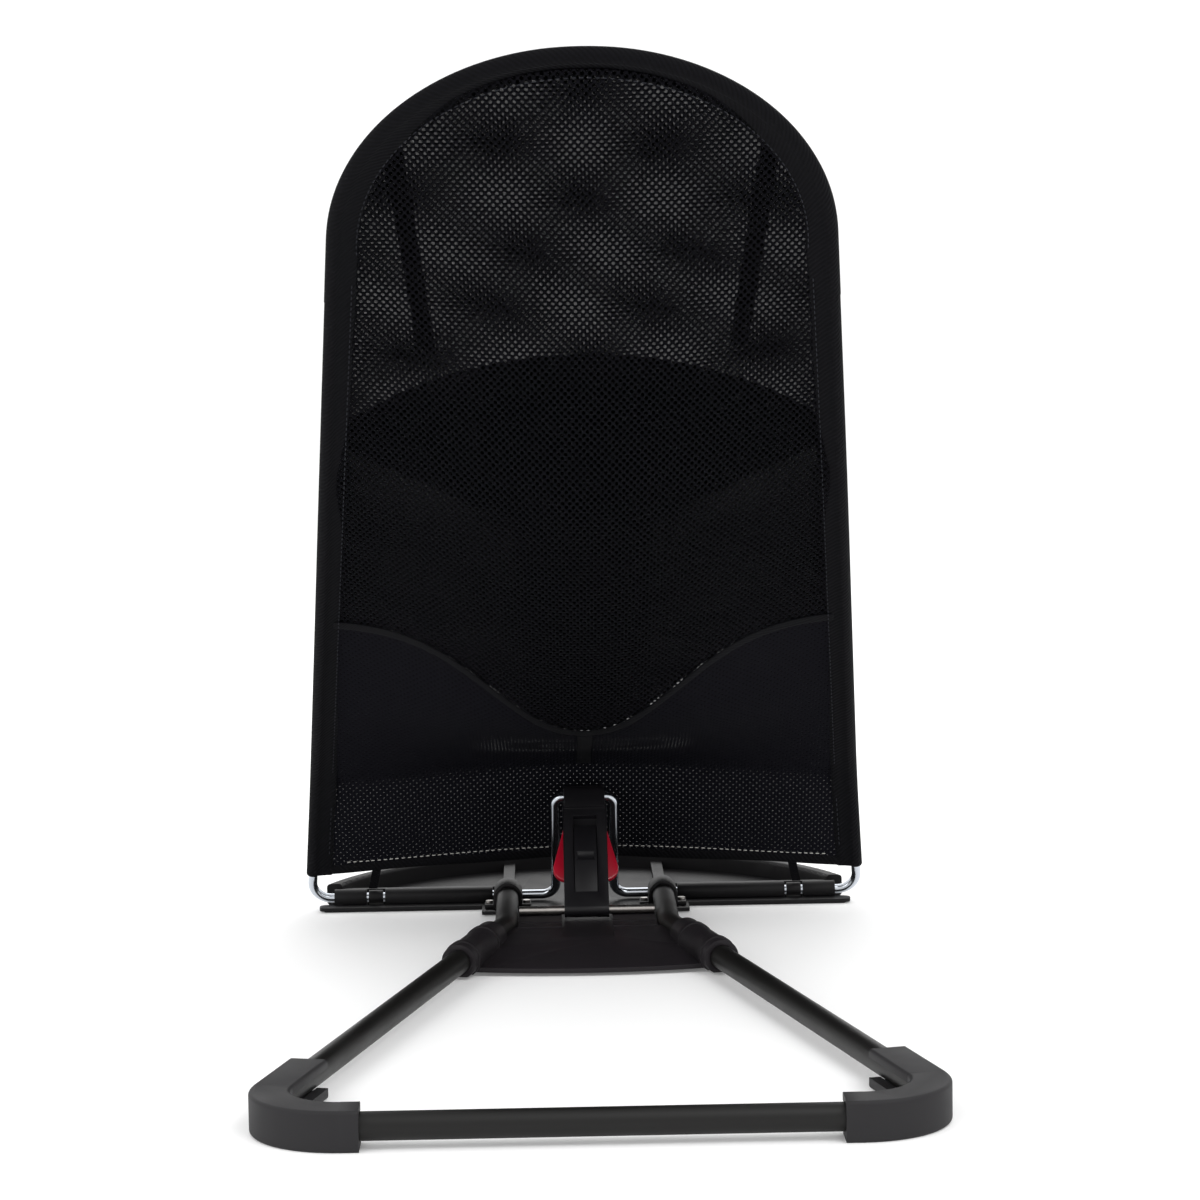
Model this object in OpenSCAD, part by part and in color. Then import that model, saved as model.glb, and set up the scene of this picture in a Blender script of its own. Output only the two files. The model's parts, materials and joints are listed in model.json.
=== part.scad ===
// Bouncer seat: a wire-framed fabric seat that springs on a low tube base.
// Millimetres, +Z up, +X to the sitter's right, the foot end at -Y, the head end at +Y.
// The origin is on the floor, at the middle of the outline.

/* [Overall] */

// Length of the base, front rim to the back of the rear feet
base_length = 790; // [740:10:840]
// Width of the seat wire at the foot end, centre to centre
seat_width = 384; // [364:4:400]
// Distance from the front rim back to the pivot of the seat
pivot_setback = 133; // [125:1:141]
// Height of the pivot above the floor
pivot_height = 7.5; // [7.5:0.1:8]

/* [Seat wire] */

// Diameter of the seat wire and of the crank wire
wire_d = 6.5; // [5:0.1:7]
// Slope of the short foot section of the side rails
foot_slope = 62; // [58:0.5:66]
// Length of the foot section of the side rails
foot_run = 100; // [90:1:110]
// Slope of the seat section of the side rails
seat_slope = 42; // [40:0.5:45]
// Length of the seat section of the side rails
seat_run = 330; // [300:5:350]
// Slope of the back section of the side rails
back_slope = 47.5; // [45:0.5:50]
// Length of the back section of the side rails
back_run = 324; // [300:2:350]
// Radius of the arc over the head end
head_radius = 138; // [130:1:150]
// Radius of the corners between the rails and the pivot run
corner_radius = 13; // [9:0.5:16]
// Radius of the bend between foot and seat sections
knee_radius = 200; // [120:10:240]
// Radius of the bend between seat and back sections
waist_radius = 1500; // [800:50:2000]

/* [Crank and prop] */

// Length of the crank from the pivot to its crossbar
crank_length = 85; // [80:1:88]
// Width of the crank between the centres of its legs
crank_width = 40.5; // [39:0.5:48]
// Radius of the crank's bends
crank_radius = 6; // [5:0.5:6]
// Angle of the crank above the floor
crank_angle = 62; // [58:0.5:66]
// Distance from the crossbar to the prop's foot rod
prop_length = 92; // [88:0.5:94]
// Width of the prop's body
prop_width = 30; // [26:0.5:31]
// Thickness of the prop's body
prop_thickness = 10; // [9:0.5:11]
// Diameter of the steel rod in the prop's foot
rod_d = 6; // [5:0.1:6.5]
// Length of the steel rod in the prop's foot
rod_length = 91; // [80:1:92]
// Width of the release wings
wing_width = 44.5; // [40:0.5:48]
// Thickness of the release wings
wing_thickness = 4; // [3:0.5:5]
// Travel of the release wings along the prop
release_travel = 6; // [4:0.5:6]

/* [Base] */

// Diameter of the base tube
tube_d = 15; // [14:0.5:16]
// Wall of the base tube
tube_wall = 1.5; // [1:0.1:2]
// Gap between the tube and the tray's floor
tube_lift = 0.6; // [0.5:0.1:1.1]
// Distance between the centres of the two legs at the front
tube_gap = 108; // [108:0.5:112]
// Half the width at the rear corner, measured to the corner of the centre lines
rear_half_width = 184; // [175:1:186]
// Radius of the rear corners
rear_radius = 40; // [34:1:46]
// Where the legs start to spread, behind the pivot
spread_start = 134; // [128:1:140]
// Width across the rubber corner foot
foot_width = 22; // [21:0.5:24]
// Height of the rubber corner foot above the tube's rubber
foot_crown = 0.2; // [0.1:0.1:1.3]
// Rubber outside the tube at the corner foot
foot_wall = 2.5; // [2.5:0.1:3.5]
// Rubber corner's length along each leg
foot_leg = 58; // [50:1:64]
// Rubber corner's length along the rear bar
foot_bar = 10; // [6:1:14]

/* [Front tray and deck] */

// How far the tray's rim reaches past the seat wire's centre line
rim_reach = 3; // [0:0.5:6]
// Width of the rim
rim_width = 10; // [8:0.5:12]
// Height of the rim
rim_height = 16; // [12:0.5:18]
// Thickness of the tray floor
tray_floor = 2.4; // [2:0.1:2.8]
// Height of the rubber strips under the tray
grip_height = 1; // [0.8:0.1:1.2]
// Length of the level part of the deck
deck_length = 64; // [60:1:68]
// Length of the deck's rear slope
apron_length = 86; // [80:1:90]
// Thickness of the deck
deck_thickness = 3.5; // [3:0.1:4]
// Depth of the three resting grooves in the deck
groove_depth = 1.2; // [0.8:0.1:1.6]
// Outer diameter of the deck's sleeves on the legs
sleeve_d = 22; // [20:0.5:23]

/* [Fabric] */

// Thickness of the mesh fabric
cloth = 1.2; // [1:0.1:1.4]
// Outer diameter of the fabric casing on the wire
casing_d = 9.3; // [9:0.1:10]
// Where the hem lies, along the rails from the pivot
hem_start = 22; // [20:1:24]
// Height of the hem binding along the rails
hem_height = 8; // [7:0.5:10]
// How far the cloth lifts over the crank
crank_lift = 14.5; // [13.5:0.5:16]
// How far the pouch hangs below the rails
pouch_depth = 35; // [24:1:36]
// Where the pouch seam meets the side rails
seam_side = 287; // [270:1:300]
// How far the pouch seam dips at the middle
seam_dip = 79; // [65:1:82]
// Thickness of the padded restraint flap
flap_thickness = 3; // [2.5:0.1:4]
// Width of the flap at its upper corners
flap_width = 290; // [270:2:296]
// Where the middle of the flap's upper edge lies, along the rails from the pivot
flap_top = 524; // [505:1:545]
// Diameter of the flap's round buttons
button_d = 20; // [16:0.5:24]

/* [Fits] */

// Radial clearance of a wire or rod that turns in a bearing
running = 0.05; // [0.03:0.01:0.1]
// Gap between pieces that lie against each other
lay = 0.3; // [0.2:0.05:0.4]
// Radial clearance of the casing on the wire
casing_slack = 0.2; // [0.1:0.05:0.3]

/* [Hidden] */

floor_z = grip_height;
floor_top = grip_height + tray_floor;
tube_height = floor_top + tube_lift + tube_d / 2;
foot_height = tube_height + tube_d / 2 + foot_wall + foot_crown;
tray_radius = seat_width / 2 + rim_reach;

front_y = -base_length / 2;
pivot_y = front_y + pivot_setback;
rear_y = base_length / 2 - tube_d / 2 - foot_wall;
tray_y = front_y + tray_radius;
half_gap = tube_gap / 2;
tube_front = pivot_y + 10;
spread_y = pivot_y + spread_start;
spread = (rear_half_width - half_gap) / (rear_y - spread_y);
big = 1000;

rail_length = foot_run + seat_run + back_run;
half_width = seat_width / 2;
crown_flat = 3;
head_turn = 90 - atan((half_width - head_radius * tan(43)) / rail_length);
head_half = head_radius * tan(head_turn / 2) + crown_flat / 2;
taper = (half_width - head_half) / rail_length;
knee_turn = foot_slope - seat_slope;
knee_tangent = knee_radius * tan(knee_turn / 2);
knee_arc = knee_radius * knee_turn * PI / 180;
run_split = 100;
clip_x = half_width - 45;

crank_y = pivot_y + crank_length * cos(crank_angle);
crank_z = pivot_height + crank_length * sin(crank_angle);
deck_z = 12.2;
rod_z = deck_z + lay + rod_d / 2;
prop_angle = asin((crank_z - rod_z) / prop_length);
rod_y = crank_y + prop_length * cos(prop_angle);
deck_front = rod_y - 9;
deck_back = deck_front + deck_length;
apron_back = deck_back + apron_length;

// ---- paths ----

function unit(v) = v / norm(v);
function rail_x(t) = half_width - taper * t;

// Height and reach of the rail's centre line at the corners of its three straight sections
knee = [pivot_y + foot_run * cos(foot_slope), pivot_height + foot_run * sin(foot_slope)];
waist = knee + seat_run * [cos(seat_slope), sin(seat_slope)];
crown = waist + back_run * [cos(back_slope), sin(back_slope)];

// The rail's slope, and the point on it, at a distance t from the pivot
arc_start = foot_run - knee_tangent;
function slope_at(t) =
    t < arc_start ? foot_slope :
    t < arc_start + knee_arc ? foot_slope - (t - arc_start) / knee_radius * 180 / PI :
    t < foot_run + seat_run - 60 ? seat_slope :
    t < foot_run + seat_run + 60 ?
        seat_slope + (back_slope - seat_slope) * (t - foot_run - seat_run + 60) / 120 :
    back_slope;
function rail_at(t) =
    t < foot_run ? [pivot_y, pivot_height] + t * [cos(foot_slope), sin(foot_slope)] :
    t < foot_run + seat_run ? knee + (t - foot_run) * [cos(seat_slope), sin(seat_slope)] :
    waist + (t - foot_run - seat_run) * [cos(back_slope), sin(back_slope)];

// A round bar from p to q
module bar(p, q, d) {
    v = q - p;
    translate(p)
        rotate([0, acos(v[2] / norm(v)), atan2(v[1], v[0])])
            cylinder(h = norm(v), d = d, $fn = 48);
}

// The turn, the length it takes off each straight, and the arc's frame at corner b of a path a-b-c
function turn_at(a, b, c) = acos(unit(b - a) * unit(c - b));
function cut_at(a, b, c, r) = r * tan(turn_at(a, b, c) / 2);

module bend(a, b, c, r, d) {
    u = unit(b - a);
    v = unit(c - b);
    n = unit(v - (u * v) * u);
    w = cross(u, n);
    o = b - u * cut_at(a, b, c, r) + r * n;
    multmatrix([[-n[0], u[0], w[0], o[0]], [-n[1], u[1], w[1], o[1]], [-n[2], u[2], w[2], o[2]]])
        rotate_extrude(angle = turn_at(a, b, c), $fn = 96)
            translate([r, 0])
                circle(d = d - 2 * bend_step, $fn = 48);
}

// Straights reach this far into the bends, which are thinner by this step, so that the two join cleanly
bar_reach = 0.1;
bend_step = 0.01;
foot_reach = 0.5;
foot_step = 0.05;

// A round wire along points p, with a bend of radius r[i] at each inner point
module wire(p, r, d) {
    last = len(p) - 1;
    for (i = [0 : last - 1]) {
        u = unit(p[i + 1] - p[i]);
        lead = i == 0 ? 0 : cut_at(p[i - 1], p[i], p[i + 1], r[i]);
        tail = i == last - 1 ? 0 : cut_at(p[i], p[i + 1], p[i + 2], r[i + 1]);
        from = i == 0 ? 0 : lead - bar_reach;
        to = i == last - 1 ? 0 : tail - bar_reach;
        bar(p[i] + from * u, p[i + 1] - to * u, d);
    }
    for (i = [1 : last - 1])
        bend(p[i - 1], p[i], p[i + 1], r[i], d);
}

function rail_point(t, side) = [side * rail_x(t), rail_at(t)[0], rail_at(t)[1]];

// ---- flat shapes ----

// A rectangle from a to b with its corners rounded
module round_rect(a, b, r) {
    translate([a[0] + r, a[1]])
        square([b[0] - a[0] - 2 * r, b[1] - a[1]]);
    translate([a[0], a[1] + r])
        square([b[0] - a[0], b[1] - a[1] - 2 * r]);
    for (x = [a[0] + r, b[0] - r])
        for (y = [a[1] + r, b[1] - r])
            translate([x, y])
                circle(r = r, $fn = 32);
}

// Outline of the release wings: narrow near the crossbar, widest near the pad's stem
module wing_outline() {
    hull()
        for (side = [-1, 1]) {
            translate([side * (prop_width / 2 - 3.2), 22.7])
                circle(r = 3, $fn = 32);
            translate([side * (wing_width / 2 - 10), 55])
                circle(r = 10, $fn = 48);
        }
}

// ---- cloth ----

function ease(v) = v <= 0 ? 0 : v >= 1 ? 1 : v * v * (3 - 2 * v);
function hang(t) = -crank_lift + (crank_lift + pouch_depth) * ease((t - crank_length - 10) / 125)
    - (pouch_depth - 3) * ease((t - 300) / 380);
function sag(x, t) = hang(t) * pow(1 - min(1, pow(x / rail_x(t), 2)), 2);

// A point on the cloth at x, at distance t along the rails, at a depth below its surface
function cloth_at(x, t, depth) = [
    x,
    rail_at(t)[0] + (sag(x, t) + depth) * sin(slope_at(t)),
    rail_at(t)[1] - (sag(x, t) + depth) * cos(slope_at(t))
];
function seam_at(u) = seam_side - seam_dip * pow(1 - u * u, 5);

// Inner half width of the seat at t, a margin inside the centre line of the wire
head_t = rail_length - head_radius;
function inner_half(t, margin) =
    t < head_t ? rail_x(t) - margin :
    min(rail_x(t) - margin, sqrt(max(0, pow(head_radius - margin, 2) - pow(t - head_t, 2))));

// A closed sheet through a grid of upper points and a grid of lower points
module sheet(upper, lower) {
    rows = len(upper);
    cols = len(upper[0]);
    points = concat([for (row = upper) each row], [for (row = lower) each row]);
    function top(i, j) = i * cols + j;
    function low(i, j) = rows * cols + i * cols + j;
    function quad(a, b, c, d) = [[a, b, c], [a, c, d]];
    faces = [
        for (i = [0 : rows - 2]) for (j = [0 : cols - 2])
            each quad(top(i, j), top(i + 1, j), top(i + 1, j + 1), top(i, j + 1)),
        for (i = [0 : rows - 2]) for (j = [0 : cols - 2])
            each quad(low(i, j), low(i, j + 1), low(i + 1, j + 1), low(i + 1, j)),
        for (i = [0 : rows - 2])
            each quad(top(i + 1, 0), top(i, 0), low(i, 0), low(i + 1, 0)),
        for (i = [0 : rows - 2])
            each quad(top(i, cols - 1), top(i + 1, cols - 1), low(i + 1, cols - 1), low(i, cols - 1)),
        for (j = [0 : cols - 2])
            each quad(top(0, j), top(0, j + 1), low(0, j + 1), low(0, j)),
        for (j = [0 : cols - 2])
            each quad(top(rows - 1, j + 1), top(rows - 1, j), low(rows - 1, j), low(rows - 1, j + 1))
    ];
    polyhedron(points = points, faces = faces, convexity = 6);
}

// ---- base ----

leg_path = function(side) [
    [side * half_gap, tube_front, tube_height],
    [side * half_gap, spread_y, tube_height],
    [side * rear_half_width, rear_y, tube_height]
];
tube_path = concat(leg_path(1), [for (i = [2 : -1 : 0]) leg_path(-1)[i]]);
tube_radii = [0, 60, rear_radius, rear_radius, 60, 0];

module base_tube() {
    color("#1d1e21")
        difference() {
            wire(tube_path, tube_radii, tube_d);
            wire(tube_path, tube_radii, tube_d - 2 * tube_wall);
        }
}

// The rubber that wraps the outside of one rear corner
module corner_foot() {
    a = [half_gap, spread_y, 0];
    b = [rear_half_width, rear_y, 0];
    c = [0, rear_y, 0];
    turn = turn_at(a, b, c);
    cut = cut_at(a, b, c, rear_radius);
    u = unit(b - a);
    n = unit([-1, 0, 0] - ([-1, 0, 0] * u) * u);
    o = b - u * cut + rear_radius * n;
    heading = atan2(u[1], u[0]) - 90;
    translate(o)
        rotate([0, 0, heading]) {
            rotate_extrude(angle = turn, $fn = 96)
                translate([rear_radius, 0])
                    corner_profile(foot_step);
            translate([0, foot_reach, 0])
                rotate([90, 0, 0])
                    linear_extrude(foot_leg)
                        translate([rear_radius, 0])
                            corner_profile(0);
            rotate([0, 0, turn])
                translate([0, -foot_reach, 0])
                    mirror([0, 1, 0])
                        rotate([90, 0, 0])
                            linear_extrude(foot_bar)
                                translate([rear_radius, 0])
                                    corner_profile(0);
        }
}

// The foot's cross-section, thinner by a step all round: x points away from the corner's centre, y up
module corner_profile(step) {
    outer = tube_d / 2 + foot_wall;
    difference() {
        round_rect([outer - foot_width + step, step], [outer - step, foot_height - step], 2);
        translate([0, tube_height])
            circle(d = tube_d + 2 * lay + 2 * step, $fn = 48);
        translate([outer - foot_width - 1, tube_height - 5.5 - step])
            square([foot_width - outer + 1, 11 + 2 * step]);
    }
}

module corner_foot_left() {
    color("#4a4b4e")
        mirror([1, 0, 0])
            corner_foot();
}

module corner_foot_right() {
    color("#4a4b4e")
        corner_foot();
}

// Clear of the seat's corners and side rails behind this line
rail_clear_y = pivot_y - 8;
cover_start = half_gap + 11;
cover_end = half_width - 16;

lip_middle = (cover_start + cover_end + 8) / 2;
lip_half = (cover_end - cover_start) / 2 + 6;
screw_step = tube_d / 2 + 5.5;

// Tray floor and rim, open at the back beside the tongue and at the seat's corners
module tray_bowl() {
    difference() {
        union() {
            // curved rim
            translate([0, tray_y, floor_z])
                rotate_extrude($fn = 160)
                    round_rect([tray_radius - rim_width, 0], [tray_radius, rim_height - floor_z], 2.5);
            // floor
            translate([0, tray_y, floor_z])
                cylinder(h = tray_floor, r = tray_radius - 2, $fn = 160);
            // tongue that carries the clamps
            translate([-half_gap - 18, pivot_y, floor_z])
                cube([tube_gap + 36, 40, tray_floor]);
            // low wall in front of the pivot run
            for (side = [-1, 1])
                translate([side * (half_gap + cover_end) / 2, pivot_y - 11, floor_z + 5])
                    cube([cover_end - half_gap + 10, 4, 11.5], center = true);
            // long ribs
            for (side = [-1, 1])
                translate([side * half_gap - 4, front_y + 6, floor_z])
                    cube([8, pivot_setback - 18, 8]);
        }
        // open behind the pivot run, beside the tongue
        for (side = [-1, 1])
            translate([side * (half_gap + 18 + big / 2), pivot_y + 6 + big / 2, 0])
                cube([big, big, big], center = true);
        translate([0, pivot_y + 40 + big / 2, 0])
            cube([big, big, big], center = true);
        // room for the seat's corners
        for (side = [-1, 1])
            translate([side * (cover_end - 6 + big / 2), rail_clear_y + big / 2, 0])
                cube([big, big, big], center = true);
    }
}

module front_tray() {
    color("#26272a")
        difference() {
            union() {
                tray_bowl();
                // rear lip under each pivot run
                for (side = [-1, 1])
                    translate([side * lip_middle, pivot_y + 11, floor_z])
                        linear_extrude(tray_floor)
                            round_rect([-lip_half, -6.5], [lip_half, 6.5], 5);
            }
            // windows under the strap clips
            for (side = [-1, 1])
                translate([side * clip_x, pivot_y, 0])
                    cube([13, 14, 20], center = true);
            // holes for the clamp screws
            for (side = [-1, 1])
                for (step = [-screw_step, screw_step])
                    translate([side * half_gap + step, tube_front + 12, 0])
                        cylinder(h = big, d = 3.2, center = true, $fn = 24);
        }
}

// Rubber strips that carry the tray: one under each end of the rim, one under each rear lip
module tray_grips() {
    color("#3c3d40")
        for (side = [-1, 1]) {
            translate([side * lip_middle, pivot_y + 12, 0])
                linear_extrude(grip_height - 0.05)
                    round_rect([-lip_half + 3, -4], [lip_half - 3, 4], 3.5);
            translate([0, tray_y, 0])
                rotate([0, 0, 270 + side * 32 - 18])
                    rotate_extrude(angle = 36, $fn = 160)
                        translate([tray_radius - rim_width + 1, 0])
                            square([rim_width - 2, grip_height - 0.05]);
        }
}

// Saddles that hold the ends of the base tube down on the tray
module tube_clamps() {
    color("#2c2d30")
        for (side = [-1, 1])
            translate([side * half_gap, tube_front, 0])
                difference() {
                    union() {
                        translate([0, 0, tube_height])
                            rotate([-90, 0, 0])
                                cylinder(h = 24, d = tube_d + 5, $fn = 64);
                        translate([-tube_d / 2 - 2.5, 0, floor_top + lay])
                            cube([tube_d + 5, 24, tube_height - floor_top - lay]);
                        translate([-16, 4, floor_top + lay])
                            cube([32, 16, 2.5]);
                    }
                    translate([0, -1, tube_height])
                        rotate([-90, 0, 0])
                            cylinder(h = 40, d = tube_d + 0.4, $fn = 64);
                    translate([-6, -1, 0])
                        cube([12, 40, 6]);
                    translate([0, 0, -50])
                        cube([100, 100, 100 + 2 * (floor_top + lay)], center = true);
                    for (step = [-screw_step, screw_step])
                        translate([step, 12, 0])
                            cylinder(h = 60, d = 3.2, center = true, $fn = 24);
                }
}

// Screws through the clamps' flanges into the tray
module clamp_screws() {
    color("#9a9ca0")
        for (side = [-1, 1])
            for (step = [-screw_step, screw_step])
                translate([side * half_gap + step, tube_front + 12, 0]) {
                    translate([0, 0, floor_z + 0.2])
                        cylinder(h = 6, d = 3, $fn = 32);
                    translate([0, 0, floor_top + lay + 2.55])
                        cylinder(h = 1.6, d = 5, $fn = 32);
                }
}

// The long bearing cover over one end run of the wire, with a gap for the strap's clip
module run_cover(side) {
    for (span = [[cover_start, clip_x - 6.5], [clip_x + 6.5, cover_end]])
        translate([side * (span[0] + span[1]) / 2, pivot_y, 0])
            difference() {
                union() {
                    translate([0, 0, pivot_height])
                        rotate([0, 90, 0])
                            cylinder(h = span[1] - span[0], r = 6, center = true, $fn = 64);
                    translate([0, 0, (pivot_height + floor_top + lay) / 2])
                        cube([span[1] - span[0], 12, pivot_height - floor_top - lay], center = true);
                }
                translate([0, 0, pivot_height])
                    rotate([0, 90, 0])
                        cylinder(h = big, d = wire_d + 2 * running, center = true, $fn = 64);
                translate([0, 0, floor_top + lay - 20])
                    cube([big, 60, 40], center = true);
            }
}

module run_cover_left() {
    color("#303134")
        run_cover(-1);
}

module run_cover_right() {
    color("#303134")
        run_cover(1);
}

// Plan outline of the deck, up to the centre lines of the legs
module deck_outline(from, to) {
    function leg_x(y) = half_gap + spread * max(0, y - spread_y);
    mid = max(from, spread_y);
    intersection() {
        polygon([
            [-leg_x(from), from], [leg_x(from), from], [leg_x(mid), mid], [leg_x(to), to],
            [-leg_x(to), to], [-leg_x(mid), mid]
        ]);
        translate([0, to - 420])
            circle(r = 420, $fn = 200);
    }
}

module prop_deck() {
    drop_z = deck_z - deck_thickness;
    apron_z = 5.2;
    color("#2f2d31")
        difference() {
            union() {
                intersection() {
                    rotate([90, 0, 90])
                        linear_extrude(big, center = true)
                            polygon([
                                [deck_front, drop_z - 4], [deck_front, deck_z], [deck_back, deck_z],
                                [apron_back, apron_z], [apron_back, apron_z - 3], [deck_back, drop_z],
                                [deck_front + 3, drop_z], [deck_front + 3, drop_z - 4]
                            ]);
                    linear_extrude(60)
                        deck_outline(deck_front, apron_back);
                }
                // floor that reaches forward to the tray
                translate([-half_gap, pivot_y + 40 + lay, floor_z + 1])
                    cube([tube_gap, deck_front + 3 - pivot_y - 40 - lay, tray_floor]);
                // front wall from floor to deck
                translate([-half_gap, deck_front, floor_z + 1])
                    cube([tube_gap, 3, drop_z - floor_z - 2]);
                // sleeves on the spreading legs
                for (side = [-1, 1]) {
                    bar(leg_spot(side, deck_back + 14), leg_spot(side, apron_back + 4), sleeve_d);
                    bar(leg_spot(side, deck_back + 30), leg_spot(side, deck_back + 36), sleeve_d + 1.6);
                    bar(leg_spot(side, apron_back - 10), leg_spot(side, apron_back - 4), sleeve_d + 1.6);
                }
            }
            // bore for the tube, open below
            for (side = [-1, 1]) {
                bar(leg_spot(side, spread_y - 1), leg_spot(side, rear_y), tube_d + 0.4);
                bar([side * half_gap, pivot_y, tube_height], [side * half_gap, spread_y + 8, tube_height],
                    tube_d + 0.4);
            }
            translate([0, 0, floor_z + 1 - big / 2])
                cube([big, big, big], center = true);
            // three grooves where the foot rod rests
            for (at = rest_spots)
                translate([0, at, deck_z + rod_d / 2 - groove_depth])
                    rotate([0, 90, 0])
                        cylinder(h = rod_length, d = rod_d, center = true, $fn = 48);
            // channel for the prop's end, as far as the lowest position takes it
            translate([-prop_width / 2 - 2, deck_front - 1, deck_z - 2.5])
                cube([prop_width + 4, rod_reach(38) + prop_thickness / 2 + 2.5 - deck_front, 10]);
        }
}

function leg_spot(side, y) = [side * (half_gap + spread * (y - spread_y)), y, tube_height];

// Where the foot rod lies when the crank is lowered by 0, 12 and 22 degrees
function rod_reach(lower) =
    pivot_y + crank_length * cos(crank_angle - lower)
    + sqrt(pow(prop_length, 2) - pow(pivot_height + crank_length * sin(crank_angle - lower) - rod_z, 2));
rest_spots = [for (lower = [0, 12, 22]) rod_reach(lower)];

// ---- crank, prop and release ----

crank_top = function(x) [x, crank_y, crank_z];
crank_base = function(x) [x, pivot_y, pivot_height];
crank_path = [
    crank_base(-run_split + 0.3), crank_base(-crank_width / 2), crank_top(-crank_width / 2),
    crank_top(crank_width / 2), crank_base(crank_width / 2), crank_base(run_split - 0.3)
];

module crank_wire() {
    color("#c9ccd0")
        wire(crank_path, [0, crank_radius + 4, crank_radius, crank_radius, crank_radius + 4, 0], wire_d);
}

// Local frame of the prop: origin on the crossbar, Y towards the foot rod, Z out of its rear face
module in_prop() {
    translate([0, crank_y, crank_z])
        rotate([-prop_angle, 0, 0])
            children();
}

block_half = crank_width / 2 - crank_radius - 0.25;
pad_start = 26;
pad_end = 80;

module prop_strut() {
    color("#232427")
        in_prop()
            difference() {
                union() {
                    rotate([0, 90, 0])
                        cylinder(h = 2 * block_half, r = 7.5, center = true, $fn = 64);
                    translate([-block_half, 0, -7.5])
                        cube([2 * block_half, 13, 15]);
                    translate([-prop_width / 2, 8, -prop_thickness / 2])
                        cube([prop_width, prop_length - 8, prop_thickness]);
                    translate([0, prop_length, 0])
                        rotate([0, 90, 0])
                            cylinder(h = prop_width, d = prop_thickness, center = true, $fn = 64);
                }
                // bearing on the crossbar
                rotate([0, 90, 0])
                    cylinder(h = 60, d = wire_d + 2 * running, center = true, $fn = 64);
                // bore for the foot rod
                translate([0, prop_length, 0])
                    rotate([0, 90, 0])
                        cylinder(h = 60, d = rod_d + 2 * running, center = true, $fn = 64);
                // channel of the release pad
                translate([-8, pad_start - release_travel - 1, 0.5])
                    cube([16, pad_end - pad_start + release_travel + 1.5, 20]);
                // window for the pad's stem
                translate([-5, 42 - release_travel, -20])
                    cube([10, 16 + release_travel + 0.5, 40]);
            }
}

module foot_rod() {
    color("#b9bcc1")
        in_prop()
            translate([0, prop_length, 0])
                rotate([0, 90, 0])
                    cylinder(h = rod_length, d = rod_d, center = true, $fn = 48);
}

module release_wings() {
    color("#b3152c")
        in_prop()
            translate([0, 0, -prop_thickness / 2 - lay - wing_thickness])
                linear_extrude(wing_thickness)
                    wing_outline();
}

module release_pad() {
    color("#2b2a2c")
        in_prop()
            difference() {
                union() {
                    // pad with a crowned face
                    intersection() {
                        translate([-7.6, pad_start, 0.8])
                            cube([15.2, pad_end - pad_start, 8]);
                        translate([0, (pad_start + pad_end) / 2, -92])
                            rotate([0, 90, 0])
                                cylinder(h = 20, r = 99, center = true, $fn = 200);
                    }
                    translate([-4.6, 42.3, -prop_thickness / 2 - lay + 0.1])
                        cube([9.2, 15.4, 8]);
                }
                translate([0, (pad_start + pad_end) / 2, 12])
                    rotate([0, 90, 0])
                        cylinder(h = 11, r = 6, center = true, $fn = 48);
            }
}

// ---- seat ----

seat_path = concat(
    [[run_split + 0.3, pivot_y, pivot_height], rail_point(0, 1), rail_point(foot_run, 1),
        rail_point(foot_run + seat_run, 1), [head_half, crown[0], crown[1]]],
    [[-head_half, crown[0], crown[1]], rail_point(foot_run + seat_run, -1), rail_point(foot_run, -1),
        rail_point(0, -1), [-run_split - 0.3, pivot_y, pivot_height]]
);
seat_radii = [0, corner_radius, knee_radius, waist_radius, head_radius,
    head_radius, waist_radius, knee_radius, corner_radius, 0];

module seat_wire() {
    color("#cfd2d6")
        wire(seat_path, seat_radii, wire_d);
}

side_start = hem_start + 1;
side_end = rail_length - head_radius - 12;

module side_casing(side) {
    path = [rail_point(side_start, side), rail_point(foot_run, side),
        rail_point(foot_run + seat_run, side), rail_point(side_end, side)];
    difference() {
        wire(path, [0, knee_radius, waist_radius, 0], casing_d);
        wire(path, [0, knee_radius, waist_radius, 0], wire_d + 2 * casing_slack);
    }
}

module side_casing_left() {
    color("#17181c")
        side_casing(-1);
}

module side_casing_right() {
    color("#17181c")
        side_casing(1);
}

head_path = [rail_point(side_end + 1, 1), [head_half, crown[0], crown[1]],
    [-head_half, crown[0], crown[1]], rail_point(side_end + 1, -1)];

module head_casing() {
    color("#17181c")
        difference() {
            wire(head_path, [0, head_radius, head_radius, 0], casing_d);
            wire(head_path, [0, head_radius, head_radius, 0], wire_d + 2 * casing_slack);
        }
}

edge = casing_d / 2 + 0.6;
grid_u = [for (j = [-10 : 10]) j / 10];

// Rows of the back panel: even steps along the rails, then even angles round the head arc
reach = head_radius - edge;
back_rows = concat(
    [for (i = [0 : 14]) seam_side + (head_t - seam_side) * i / 14],
    [for (a = [10 : 10 : 70]) head_t + reach * sin(a)],
    [head_t + reach * sin(79)]
);
function back_point(u, i, depth) =
    let (t = back_rows[i],
         blend = pow(1 - min(1, (t - seam_side) / (head_t - seam_side)), 2),
         at = t - (seam_side - seam_at(u)) * blend + 0.4)
    cloth_at(u * inner_half(t, edge), at, depth);

module back_panel() {
    color("#24262c")
        sheet([for (i = [0 : len(back_rows) - 1]) [for (u = grid_u) back_point(u, i, 0)]],
            [for (i = [0 : len(back_rows) - 1]) [for (u = grid_u) back_point(u, i, cloth)]]);
}

lining_rows = [for (i = [1 : len(back_rows) - 1]) i];

// Second layer on the sitter's side of the back panel
module back_lining() {
    color("#202228")
        sheet([for (i = lining_rows) [for (u = grid_u) back_point(u * 0.97, i, -lay - 1)]],
            [for (i = lining_rows) [for (u = grid_u) back_point(u * 0.97, i, -lay)]]);
}

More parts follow.
